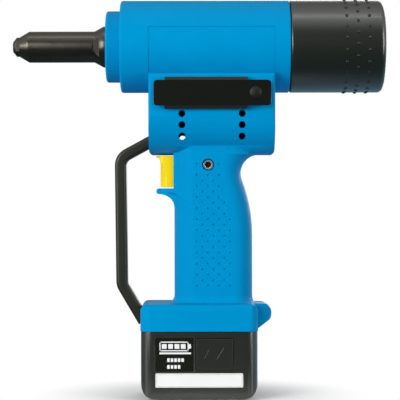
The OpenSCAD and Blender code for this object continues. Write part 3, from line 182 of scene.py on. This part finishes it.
# Hardened steel of the chuck: darker, duller grey than the ground steel
CHUCK = surface("chuck_hardened_steel", "#5C5F62", "#4C4F52", rough=0.34, grain=0.3, bump=0.12, metal=1.0,
                lines=(0.4, 20, 20))
# Phosphated motor can: dull dark grey
MOTOR = surface("motor_phosphated_steel", "#2E3033", "#26282B", rough=0.5, grain=0.4, bump=0.15, metal=0.6)
# Moulded polyamide of the inner pieces: plain black with a satin grain
BLACK = surface("inner_black_polyamide", "#262624", "#1F1F1D", rough=0.5, grain=0.5, bump=0.25)
# Nitrile seal ring: matt, dusty black
RUBBER = surface("seal_nitrile_rubber", "#1A1A1A", "#141414", rough=0.7, grain=0.4, bump=0.3, gloss=0.3)
# Epoxy glass laminate of the boards: solder mask that makes them green and even
BOARD = surface("board_epoxy_glass_laminate", "#2C6A3C", "#235A32", rough=0.4, grain=0.8, bump=0.1)
# PVC shrink sleeve on the cells: smooth and shiny blue-green
CELL = surface("cell_pvc_shrink_sleeve", "#3E7F8C", "#34707C", rough=0.28, grain=0.8, bump=0.08)
# Rolled brass of the terminal blades: warm yellow metal with rolling lines
BRASS = surface("blade_rolled_brass", "#CBA44A", "#BC9540", rough=0.28, grain=0.3, bump=0.1, metal=1.0,
                lines=(20, 20, 0.5))
# Natural acetal of the switch plunger: milky white
PALE = surface("plunger_natural_acetal", "#DAD8D0", "#CFCDC5", rough=0.45, grain=0.5, bump=0.15)

MATERIALS = {
    "housing_plastic": BLUE, "guard_plastic": GUARD, "trigger_plastic": YELLOW, "clip_steel": CLIP,
    "nose_steel": OXIDE, "screw_steel": ZINC, "container_plastic": CONTAINER, "plug_plastic": BLACK,
    "seal_rubber": RUBBER, "frame_aluminium": ALUMINIUM, "bearing_steel": STEEL, "drive_steel": STEEL,
    "chuck_steel": CHUCK, "spring_steel": STEEL, "motor_steel": MOTOR, "black_plastic": BLACK,
    "plunger_plastic": PALE, "board_laminate": BOARD, "battery_plastic": BATTERY, "holder_plastic": BLACK,
    "cell_wrap": CELL, "contact_brass": BRASS}


# Shapes

MERGE = 0.004  # corners nearer than this are one
FLAT = 0.4  # degrees within which faces are one flat face
CRISP = 30  # degrees past which an edge is drawn crisp
CORNER = 35  # degrees past which an outer edge is broken
SQUARE = 0.999  # share of its normal along an axis that makes a face square to it
NEAR = 0.05  # how near a face or an edge lies to where it is looked for
CLOSE = 0.02  # the same for the parting plane and the trigger's round face
LIFT = 0.05  # height over a face from which it looks out
SIGHT = 75.0  # distance within which another face in the way hides it


def piece(name, bm, materials, body):
    """Turns a bmesh in the frame's own coordinates into a piece that rides on a body."""
    mesh = bpy.data.meshes.new(name)
    bm.to_mesh(mesh)
    bm.free()
    for material in materials:
        mesh.materials.append(material)
    mesh.polygons.foreach_set("use_smooth", [True] * len(mesh.polygons))
    mesh.set_sharp_from_angle(angle=math.radians(CRISP))
    obj = bpy.data.objects.new(name, mesh)
    bpy.context.scene.collection.objects.link(obj)
    even = obj.modifiers.new("even_normals", "WEIGHTED_NORMAL")
    even.keep_sharp = True
    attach(obj, body)
    return obj


def merged(node):
    """A CAD node's surface as one joined mesh with its flat faces whole again."""
    bm = bmesh.new()
    bm.from_mesh(nodes[node].data)
    bmesh.ops.remove_doubles(bm, verts=bm.verts, dist=MERGE * MM)
    bmesh.ops.dissolve_limit(bm, angle_limit=math.radians(FLAT), verts=bm.verts, edges=bm.edges)
    return bm


def round_edges(bm, edges, width, segments=2):
    """Rounds the given edges."""
    if edges:
        bmesh.ops.bevel(bm, geom=edges, offset=width * MM, offset_type="OFFSET", affect="EDGES",
                        segments=segments, profile=0.5, material=-1, clamp_overlap=True)


def mark_edges(bm):
    """Marks the convex edges that show: 1 on the parting plane, 2 on the open outside, 3 round a hole."""
    mark = bm.edges.layers.int.new("kind")
    tree = BVHTree.FromBMesh(bm)
    shows = {}
    for f in bm.faces:
        start = f.calc_center_median() + f.normal * LIFT * MM
        shows[f] = tree.ray_cast(start, f.normal, SIGHT * MM)[0] is None
    for e in bm.edges:
        if len(e.link_faces) != 2 or e.calc_face_angle_signed(0) < math.radians(CORNER):
            continue
        a, b = e.link_faces
        on_seam = [abs(f.normal.y) > SQUARE and abs(f.calc_center_median().y) < CLOSE * MM for f in (a, b)]
        if any(on_seam):
            e[mark] = 1 if shows[b if on_seam[0] else a] else 0
        elif shows[a] and shows[b]:
            e[mark] = 2
        elif shows[a] or shows[b]:
            e[mark] = 3
    return mark


# Housing screws, each as X, Z, how far its head stands out and to which side
SCREWS = ((6.5, 165.9, 16.8, -1), (21.1, 83.5, 16.8, 1), (-40.4, 276.0, 19.94, 1), (41.8, 276.0, 19.94, 1),
          (-25.0, 180.0, 18.2, 1), (44.7, 180.0, 18.2, 1))
HEAD_R = 3.7  # radius of a head
HEAD_ROUND = 0.8  # radius that its rim is rounded to
SOCKET_R = 2.45  # radius round its hexagon socket
SOCKET_TOP = 0.1  # depths under the head's top between which a face is the socket's
SOCKET_END = 2.45


def in_socket(face):
    """Whether a face of the housing screws lies inside a hexagon socket, where the painted shade goes."""
    p = face.calc_center_median() / MM
    return any(math.hypot(p.x - x, p.z - z) < SOCKET_R and SOCKET_TOP < head - side * p.y < SOCKET_END
               for x, z, head, side in SCREWS)


def on_rim(edge, screw):
    """Whether an edge is the rim of a housing screw's head."""
    x, z, head, side = screw
    points = [v.co / MM for v in edge.verts]
    return all(abs(math.hypot(p.x - x, p.z - z) - HEAD_R) < NEAR and abs(head - side * p.y) < NEAR
               for p in points)


def round_heads(bm):
    """Rounds the rims of the housing screws' heads."""
    round_edges(bm, [e for e in bm.edges if any(on_rim(e, screw) for screw in SCREWS)], HEAD_ROUND, 4)


BEND_TILT = 0.3  # share of its normal along Z past which a face of the clip belongs to a bend


def on_bend(face):
    """Whether a face of the belt clip belongs to its bent flanges and edges, which tilt up or down and get
    the painted sheen.
    """
    return abs(face.normal.z) > BEND_TILT


LIP_Z = 167.4  # under side of the trigger's lip
FACE_X = -18.2  # axis and radius of the trigger's round face
FACE_R = 9.5
LIP_SLOPE = 2.2  # how steeply the step under the lip is drawn down


def flare_lip(bm):
    """Draws the step under the trigger's lip down the sides, so that the lip runs out smoothly."""
    ledge = [f for f in bm.faces
             if f.normal.z < -SQUARE and abs(f.calc_center_median().z - LIP_Z * MM) < NEAR * MM]
    inner = {v for f in ledge for v in f.verts
             if abs(math.hypot(v.co.x / MM - FACE_X, v.co.y / MM) - FACE_R) < CLOSE}
    bmesh.ops.triangulate(bm, faces=ledge)
    for v in inner:
        v.co.z -= LIP_SLOPE * (v.co.x - (FACE_X - FACE_R) * MM)


REAR_X = 125.0  # X past which the container's rear end starts
REAR_MORE = 0.8  # how much longer the photo has the container than the solids


def lengthen(bm):
    """Moves the container's rear end to where the photo has it."""
    bmesh.ops.translate(bm, verts=[v for v in bm.verts if v.co.x > REAR_X * MM], vec=(REAR_MORE * MM, 0, 0))


# What shapes some of the stand-ins further
SHAPING = {"housing_screws": round_heads, "trigger": flare_lip, "mandrel_container": lengthen}
# Finishes that differ from the slot's, and what tells the faces that get the second one
FINISHES = {
    # the screws' sockets get a dark coat, painted shade for their depth
    "housing_screws": ([ZINC, SOCKET_SHADE], in_socket),
    "clip_screw": ([CLIP_SCREW], None),
    # the clip's tilted faces get a lighter coat, a painted sheen for the light they catch
    "belt_clip": ([CLIP, CLIP_BEND_SHEEN], on_bend)}
# Widths of the broken edges: at the parting plane, outside, and round holes
EDGES = {
    "left_shell": (0.3, 0.4, 0.4), "right_shell": (0.3, 0.4, 0.4), "belt_clip": (0, 0.25, 0.2),
    "clip_screw": (0, 0.2, 0), "head_sleeve": (0, 0.25, 0.2), "nosepiece": (0, 0.2, 0.2),
    "mandrel_container": (0, 0.2, 0), "trigger": (0, 0.5, 0), "battery_tub": (0, 0.3, 0.3),
    "battery_lid": (0, 0.3, 0.2), "release_button_left": (0, 0.4, 0), "release_button_right": (0, 0.4, 0),
    "housing_screws": (0, 0, 0.2), "rear_plug": (0, 0.3, 0)}


def skin(node):
    """A smooth stand-in for a CAD node, shaped and finished as the tables say, with its edges broken."""
    bm = merged(node)
    if node in SHAPING:
        SHAPING[node](bm)
    finishes, is_second = FINISHES.get(node, ([MATERIALS[slot_of[node]]], None))
    if is_second:
        for f in bm.faces:
            f.material_index = int(is_second(f))
    if node in EDGES:
        mark = mark_edges(bm)
        for kind, width in enumerate(EDGES[node], 1):
            if width:
                round_edges(bm, [e for e in bm.edges if e[mark] == kind], width)
    obj = piece(node + "_skin", bm, finishes, body_of[node])
    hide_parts(node)


for node in nodes:
    if node != "hand_guard":
        skin(node)


# Hand guard: a flat bar drawn out from the foot through two bends into the drive body

GUARD_DEEP = 8.2  # the bar's section and the radius of its edges
GUARD_WIDE = 15.0
GUARD_ROUND = 2.4
GUARD_FOOT = (-39.7, 0, 53.9)  # where it starts, in the foot
GUARD_COURSE = 120.35  # degrees from +X up to the way it starts
GUARD_BEND_R = 9.0  # radius of its bends
GUARD_RUNS = ((28.44, 29.73), (82.77, 62.12), (22.1, 0))  # each straight length, and degrees bent after it
BEND_STEP = 4  # degrees to a facet of a bend


def guard_bar():
    """The guard's bar, straight runs and bends in turn, with round edges."""
    bm = bmesh.new()
    corners = bmesh.ops.create_grid(bm, x_segments=1, y_segments=1, size=0.5)["verts"]
    bmesh.ops.scale(bm, verts=corners, vec=(GUARD_DEEP * MM, GUARD_WIDE * MM, 1))
    bmesh.ops.bevel(bm, geom=corners, offset=GUARD_ROUND * MM, offset_type="OFFSET", affect="VERTICES",
                    segments=6, profile=0.5, material=-1)
    course = GUARD_COURSE
    spot = Vector(GUARD_FOOT) * MM
    lean = Matrix.Rotation(math.radians(90 - course), 4, "Y")
    bmesh.ops.transform(bm, verts=bm.verts, matrix=Matrix.Translation(spot) @ lean)
    end = bm.faces[:]  # the faces alone, so that they stay as the lower end
    for run, bend in GUARD_RUNS:
        way = Vector((math.cos(math.radians(course)), 0, math.sin(math.radians(course))))
        end = bmesh.ops.extrude_face_region(bm, geom=end)["geom"]
        moved = [g for g in end if isinstance(g, bmesh.types.BMVert)]
        bmesh.ops.translate(bm, verts=moved, vec=way * run * MM)
        spot += way * run * MM
        if bend:
            hub = spot + Vector((way.z, 0, -way.x)) * GUARD_BEND_R * MM
            turn = math.radians(bend)
            end = bmesh.ops.spin(bm, geom=end, cent=hub, axis=(0, 1, 0), angle=turn,
                                 steps=round(bend / BEND_STEP))["geom_last"]
            spot = hub + Matrix.Rotation(turn, 3, "Y") @ (spot - hub)
            course -= bend
    bmesh.ops.recalc_face_normals(bm, faces=bm.faces)
    return bm


guard = piece("hand_guard_skin", guard_bar(), [GUARD], body_of["hand_guard"])
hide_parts("hand_guard")


# Grip pips of the container and dimples of the grip

PIP_ROWS = ((104.2, 6.2), (112.1, 13.7), (120.1, 6.2))  # each row's X, and degrees of its first pip
PIPS_AROUND = 24
PIP_SEAT = 32.9  # radius of the container under the pips
PIP_R = 1.3
PIP_HIGH = 1.0
DIMPLE_X = -1.5  # first column
DIMPLE_STEP = 7.85  # spacing along a column, and twice the columns' own spacing
DIMPLE_TOPS = (158.5, 154.6)  # top dimple's height in even and in odd columns
DIMPLE_SKIPS = (-1, 0, 0, 0, -1, 2, 4)  # steps by which each column starts lower
DIMPLE_END = 78.0  # height that the columns stop above
DIMPLE_R = 0.8
DIMPLE_BALL = 0.85  # half height of the ball that cuts a dimple
DIMPLE_LIFT = 0.1  # how far the ball's middle stands out of the grip


def balls(bm, places, radius, height):
    """Adds flattened balls: each place is a point in millimetres and the direction it faces."""
    size = Matrix.Diagonal((radius * MM, radius * MM, height * MM, 1))
    for point, out in places:
        turn = Vector(out).to_track_quat("Z", "Y").to_matrix().to_4x4()
        bmesh.ops.create_uvsphere(bm, u_segments=10, v_segments=6, radius=1.0,
                                  matrix=Matrix.Translation(Vector(point) * MM) @ turn @ size)


def container_pips():
    """Three rows of pips round the container, the middle one staggered."""
    places = []
    for x, start in PIP_ROWS:
        for k in range(PIPS_AROUND):
            angle = math.radians(360 / PIPS_AROUND * k + start)
            out = Vector((0, -math.cos(angle), math.sin(angle)))
            places.append((Vector((x, 0, AXIS_Z)) + out * PIP_SEAT, out))
    bm = bmesh.new()
    balls(bm, places, PIP_R, PIP_HIGH)
    return bm


def grip_dimples(side):
    """The balls that cut the dimples of one side of the grip, in staggered columns."""
    places = []
    for column, skip in enumerate(DIMPLE_SKIPS):
        x = DIMPLE_X + DIMPLE_STEP / 2 * column
        z = DIMPLE_TOPS[column % 2] - DIMPLE_STEP * skip
        while z > DIMPLE_END:
            places.append(((x, side * (GRIP_SIDE + DIMPLE_LIFT), z), (0, side, 0)))
            z -= DIMPLE_STEP
    bm = bmesh.new()
    balls(bm, places, DIMPLE_R, DIMPLE_BALL)
    return bm


def cut(obj, tool_bm):
    """Cuts a tool's shape out of a piece for good."""
    mesh = bpy.data.meshes.new("tool")
    tool_bm.to_mesh(mesh)
    tool_bm.free()
    tool = bpy.data.objects.new("tool", mesh)
    bpy.context.scene.collection.objects.link(tool)
    boolean = obj.modifiers.new("cut", "BOOLEAN")
    boolean.object = tool
    boolean.operation = "DIFFERENCE"
    boolean.solver = "EXACT"
    obj.modifiers.move(len(obj.modifiers) - 1, 0)
    even = obj.modifiers["even_normals"]
    even.show_viewport = False
    bpy.context.view_layer.update()
    made = bpy.data.meshes.new_from_object(obj.evaluated_get(bpy.context.evaluated_depsgraph_get()))
    obj.modifiers.remove(boolean)
    even.show_viewport = True
    old = obj.data
    obj.data = made
    made.name = obj.name
    bpy.data.meshes.remove(old)
    bpy.data.objects.remove(tool)
    bpy.data.meshes.remove(mesh)


piece("container_pips", container_pips(), [PIPS], "container")
for word, side in SIDES.items():
    cut(bpy.data.objects[word + "_shell_skin"], grip_dimples(side))


# Battery sides: bare label with a thin rule, dark film with a charge sign and plain marks, ribs on the button

# Each box is what a plate covers, from and to in X and from and to in Z
LABEL_BOX = (-30.8, 30.8, 9.1, 19.0)
LABEL_THICK = 0.3
RULE_BOX = (-30.0, 30.0, 9.9, 18.1)
RULE_LINE = 0.18
RULE_THICK = 0.02
FILM_BOX = (-30.8, -4.0, 20.3, 44.0)
FILM_THICK = 0.2
FILM_ROUND = 0.8  # corners of label and film
SIGN_BOX = (-27.6, -7.8, 35.0, 41.0)
SIGN_LINE = 0.8
SIGN_CAP_BOX = (-7.4, -5.8, 36.4, 39.6)
CHARGE_BOX = (-26.3, -22.9, 36.3, 39.7)  # first of the sign's charge blocks
CHARGE_STEP = 4.45
CHARGES = 4
UNDERLINE_BOX = (-28.0, -5.8, 32.5, 33.8)
MARK_ROWS = ((28.4, 5), (23.6, 4))  # height of each row of marks, and how many it has
MARK_X = -22.6
MARK_STEP = 2.5
MARK_WIDE = 1.8
MARK_HIGH = 2.6
INK_THICK = 0.03
INK_ROUND = 0.3
RIB_BOXES = ((3.3, 6.8, 28.8, 35.4), (12.3, 17.4, 28.8, 36.8))  # each rib runs up from corner to corner
RIB_WIDE = 0.5
RIB_HIGH = 0.3


def plate(bm, box, seat, side, thick, radius=0.0, lean=0.0):
    """Adds a thin plate that covers a box of a side face and lies on its seat in Y.

    radius rounds its corners, and lean turns it over by so many degrees.
    """
    x0, x1, z0, z1 = box
    corners = bmesh.ops.create_cube(bm, size=1.0)["verts"]
    middle = Matrix.Translation(Vector(((x0 + x1) / 2, side * (seat + thick / 2), (z0 + z1) / 2)) * MM)
    turn = Matrix.Rotation(math.radians(lean), 4, "Y")
    size = Matrix.Diagonal(((x1 - x0) * MM, thick * MM, (z1 - z0) * MM, 1))
    bmesh.ops.transform(bm, verts=corners, matrix=middle @ turn @ size)
    if radius:
        edges = dict.fromkeys(e for v in corners for e in v.link_edges)
        across = [e for e in edges if abs((e.verts[0].co - e.verts[1].co).y) > thick * MM / 2]
        round_edges(bm, across, radius, 4)


def line_box(bm, box, line, seat, side, thick):
    """Adds a box drawn in lines of the given width."""
    x0, x1, z0, z1 = box
    half = line / 2
    for z in (z0, z1):
        plate(bm, (x0 - half, x1 + half, z - half, z + half), seat, side, thick)
    for x in (x0, x1):
        plate(bm, (x - half, x + half, z0 - half, z1 + half), seat, side, thick)


def label(side):
    """The bare label."""
    bm = bmesh.new()
    plate(bm, LABEL_BOX, BATTERY_SIDE, side, LABEL_THICK, FILM_ROUND)
    return bm


def label_rule(side):
    """The thin rule round the label."""
    bm = bmesh.new()
    line_box(bm, RULE_BOX, RULE_LINE, BATTERY_SIDE + LABEL_THICK, side, RULE_THICK)
    return bm


def panel(side):
    """The dark film."""
    bm = bmesh.new()
    plate(bm, FILM_BOX, BATTERY_SIDE, side, FILM_THICK, FILM_ROUND)
    return bm


def panel_print(side):
    """The charge sign on the film, its underline and the rows of marks below."""
    bm = bmesh.new()
    seat = BATTERY_SIDE + FILM_THICK
    line_box(bm, SIGN_BOX, SIGN_LINE, seat, side, INK_THICK)
    plate(bm, SIGN_CAP_BOX, seat, side, INK_THICK, INK_ROUND)
    x0, x1, z0, z1 = CHARGE_BOX
    for k in range(CHARGES):
        plate(bm, (x0 + CHARGE_STEP * k, x1 + CHARGE_STEP * k, z0, z1), seat, side, INK_THICK, INK_ROUND)
    plate(bm, UNDERLINE_BOX, seat, side, INK_THICK)
    for z, count in MARK_ROWS:
        for k in range(count):
            x = MARK_X + MARK_STEP * k
            box = (x, x + MARK_WIDE, z - MARK_HIGH / 2, z + MARK_HIGH / 2)
            plate(bm, box, seat, side, INK_THICK, INK_ROUND)
    return bm


def release_ribs(side):
    """Two slanting ribs on a release button."""
    bm = bmesh.new()
    for x0, x1, z0, z1 in RIB_BOXES:
        x, z = (x0 + x1) / 2, (z0 + z1) / 2
        length = math.hypot(x1 - x0, z1 - z0)
        upright = (x - RIB_WIDE / 2, x + RIB_WIDE / 2, z - length / 2, z + length / 2)
        plate(bm, upright, BUTTON_SIDE, side, RIB_HIGH, lean=math.degrees(math.atan2(x1 - x0, z1 - z0)))
    return bm


for word, side in SIDES.items():
    piece("battery_label_" + word, label(side), [LABEL], "battery")
    piece("battery_label_rule_" + word, label_rule(side), [RULE], "battery")
    piece("battery_panel_" + word, panel(side), [PANEL], "battery")
    piece("battery_panel_print_" + word, panel_print(side), [LABEL], "battery")
    piece("release_ribs_" + word, release_ribs(side), [BATTERY], word + "_release")


# Stage: soft studio light, pale floor and white surroundings, with sizes in metres

AIM = Vector((0.0, 0.0, 0.16))  # what the soft boxes point at
FLOOR_SIZE = 4.0  # half the floor's width
FLOOR_DROP = 0.0002  # gap under the tool, so that its foot and the floor don't share a plane
PULP = 0.025  # size of the paper's clouds
PAPER_R = 0.03  # distances from the tool's middle at which the paper starts to run out and has run out
SWEEP_R = 0.13
FLOOR_DIM = 0.4  # strengths of the floor's and the surroundings' light on the tool, where white is 1
WORLD_DIM = 0.2


def area_light(name, place, wide, tall, power):
    """A soft box that points at the tool."""
    data = bpy.data.lights.new(name, "AREA")
    data.shape = "RECTANGLE"
    data.size = wide
    data.size_y = tall
    data.energy = power
    obj = bpy.data.objects.new(name, data)
    obj.location = place
    obj.rotation_euler = (AIM - Vector(place)).to_track_quat("-Z", "Y").to_euler()
    bpy.context.scene.collection.objects.link(obj)


def shown(tree, dim, mirror):
    """A strength of 1 for the eye, one for reflections and a dim one for light on the tool.

    The second output tells the eye's rays from the others.
    """
    ray = add(tree, "LightPath").outputs
    eye_ray = add(tree, "Math", {"operation": "MAXIMUM"}, _0=ray["Is Camera Ray"],
                  _1=ray["Is Transmission Ray"])
    plain = add(tree, "MapRange", {"To Min": dim, "To Max": 1.0}, Value=eye_ray.outputs[0])
    strength = add(tree, "Mix", {"data_type": "FLOAT"}, Factor=ray["Is Glossy Ray"],
                   _2=plain.outputs["Result"], _3=mirror)
    return strength.outputs[0], eye_ray.outputs[0]


def floor_paper():
    """White paper near the tool, running out into the lit white of the sweep, which throws cool light up."""
    material = bpy.data.materials.new("floor_white_paper")
    material.use_nodes = True
    tree = material.node_tree
    shader = tree.nodes["Principled BSDF"]
    place = add(tree, "TexCoord").outputs["Object"]
    clouds = add(tree, "TexNoise", {"Scale": 1 / PULP, "Detail": 2.0}, Vector=place)
    tone = add(tree, "MapRange", {"To Min": 0.93, "To Max": 0.96}, Value=clouds.outputs["Fac"])
    tree.links.new(tone.outputs["Result"], shader.inputs["Base Color"])
    shader.inputs["Roughness"].default_value = 0.9
    shader.inputs["Specular IOR Level"].default_value = 0.1
    # In reflections the sweep grows brighter to the rear and to the right
    along = add(tree, "SeparateXYZ", Vector=place).outputs
    rearward = add(tree, "MapRange", {"From Min": -0.12, "From Max": 0.12, "To Min": 0.08, "To Max": 0.6},
                   Value=along["Y"])
    rightward = add(tree, "MapRange", {"From Min": -0.1, "From Max": 0.1, "To Min": 0.2, "To Max": 1.0},
                    Value=along["X"])
    gleam = add(tree, "Math", {"operation": "MULTIPLY"}, _0=rearward.outputs["Result"],
                _1=rightward.outputs["Result"])
    strength, eye_ray = shown(tree, FLOOR_DIM, gleam.outputs[0])
    colour = add(tree, "Mix", {"data_type": "RGBA"}, Factor=eye_ray)
    colour.inputs[6].default_value = (0.45, 0.75, 1.0, 1.0)
    colour.inputs[7].default_value = (1.0, 1.0, 1.0, 1.0)
    sweep = add(tree, "Emission", Color=colour.outputs[2], Strength=strength)
    away = add(tree, "VectorMath", {"operation": "LENGTH"}, _0=place)
    share = add(tree, "MapRange", {"interpolation_type": "SMOOTHSTEP", "From Min": PAPER_R,
                                   "From Max": SWEEP_R}, Value=away.outputs["Value"])
    both = add(tree, "MixShader", _0=share.outputs["Result"], _1=shader.outputs[0], _2=sweep.outputs[0])
    tree.links.new(both.outputs[0], tree.nodes["Material Output"].inputs["Surface"])
    return material


def studio_world():
    """White to the eye, dim as light, and in reflections a white tent with its dark opening to the camera."""
    world = bpy.data.worlds.new("studio_white")
    world.use_nodes = True
    tree = world.node_tree
    sky = tree.nodes["Background"]
    way = add(tree, "SeparateXYZ", Vector=add(tree, "TexCoord").outputs["Generated"]).outputs
    tent = add(tree, "MapRange", {"interpolation_type": "SMOOTHSTEP", "From Min": -0.85, "From Max": -0.5,
                                  "To Min": 0.08, "To Max": 1.0}, Value=way["Y"])
    # The tent's rear wall above the floor is dimmed, so that edges seen aslant don't turn grey
    behind = add(tree, "MapRange", {"From Min": 0.0, "From Max": 0.6, "To Max": 0.65}, Value=way["Y"])
    above = add(tree, "MapRange", {"From Min": -0.05, "From Max": 0.12}, Value=way["Z"])
    shade = add(tree, "Math", {"operation": "MULTIPLY"}, _0=behind.outputs["Result"],
                _1=above.outputs["Result"])
    lit = add(tree, "Math", {"operation": "SUBTRACT", "Value": 1.0}, _1=shade.outputs[0])
    mirror = add(tree, "Math", {"operation": "MULTIPLY"}, _0=tent.outputs["Result"], _1=lit.outputs[0])
    strength, _ = shown(tree, WORLD_DIM, mirror.outputs[0])
    tree.links.new(strength, sky.inputs["Strength"])
    sky.inputs["Color"].default_value = (1.0, 1.0, 1.0, 1.0)
    return world


area_light("key_light", (-0.95, -1.1, 0.5), wide=0.8, tall=0.8, power=18.5)
area_light("overhead_light", (0.0, -0.28, 1.3), wide=1.2, tall=0.12, power=1.5)
area_light("left_strip", (-1.1, -0.55, 0.35), wide=0.25, tall=0.9, power=1.7)
area_light("right_strip", (1.0, -0.7, 0.35), wide=0.25, tall=0.9, power=6.5)
area_light("rear_light", (0.5, 1.2, 0.5), wide=0.9, tall=0.7, power=6.0)

bm = bmesh.new()
bmesh.ops.create_grid(bm, x_segments=1, y_segments=1, size=FLOOR_SIZE)
floor_mesh = bpy.data.meshes.new("floor")
bm.to_mesh(floor_mesh)
bm.free()
floor_mesh.materials.append(floor_paper())
floor = bpy.data.objects.new("floor", floor_mesh)
floor.location.z = -FLOOR_DROP
bpy.context.scene.collection.objects.link(floor)

bpy.context.scene.world = studio_world()

# Camera square to the tool's left side, at the distance that fits the photo's perspective
CAMERA_AT = (0.0007, -1.166, 0.14085)
CAMERA_ROLL = 0.1  # degrees by which the photo is turned
camera = bpy.data.cameras.new("camera")
camera.sensor_width = 36.0
camera.lens = 145.8
eye = bpy.data.objects.new("camera", camera)
eye.location = CAMERA_AT
eye.rotation_euler = (math.radians(90), math.radians(CAMERA_ROLL), 0)
bpy.context.scene.collection.objects.link(eye)
bpy.context.scene.camera = eye
bpy.context.scene.view_settings.view_transform = "Standard"
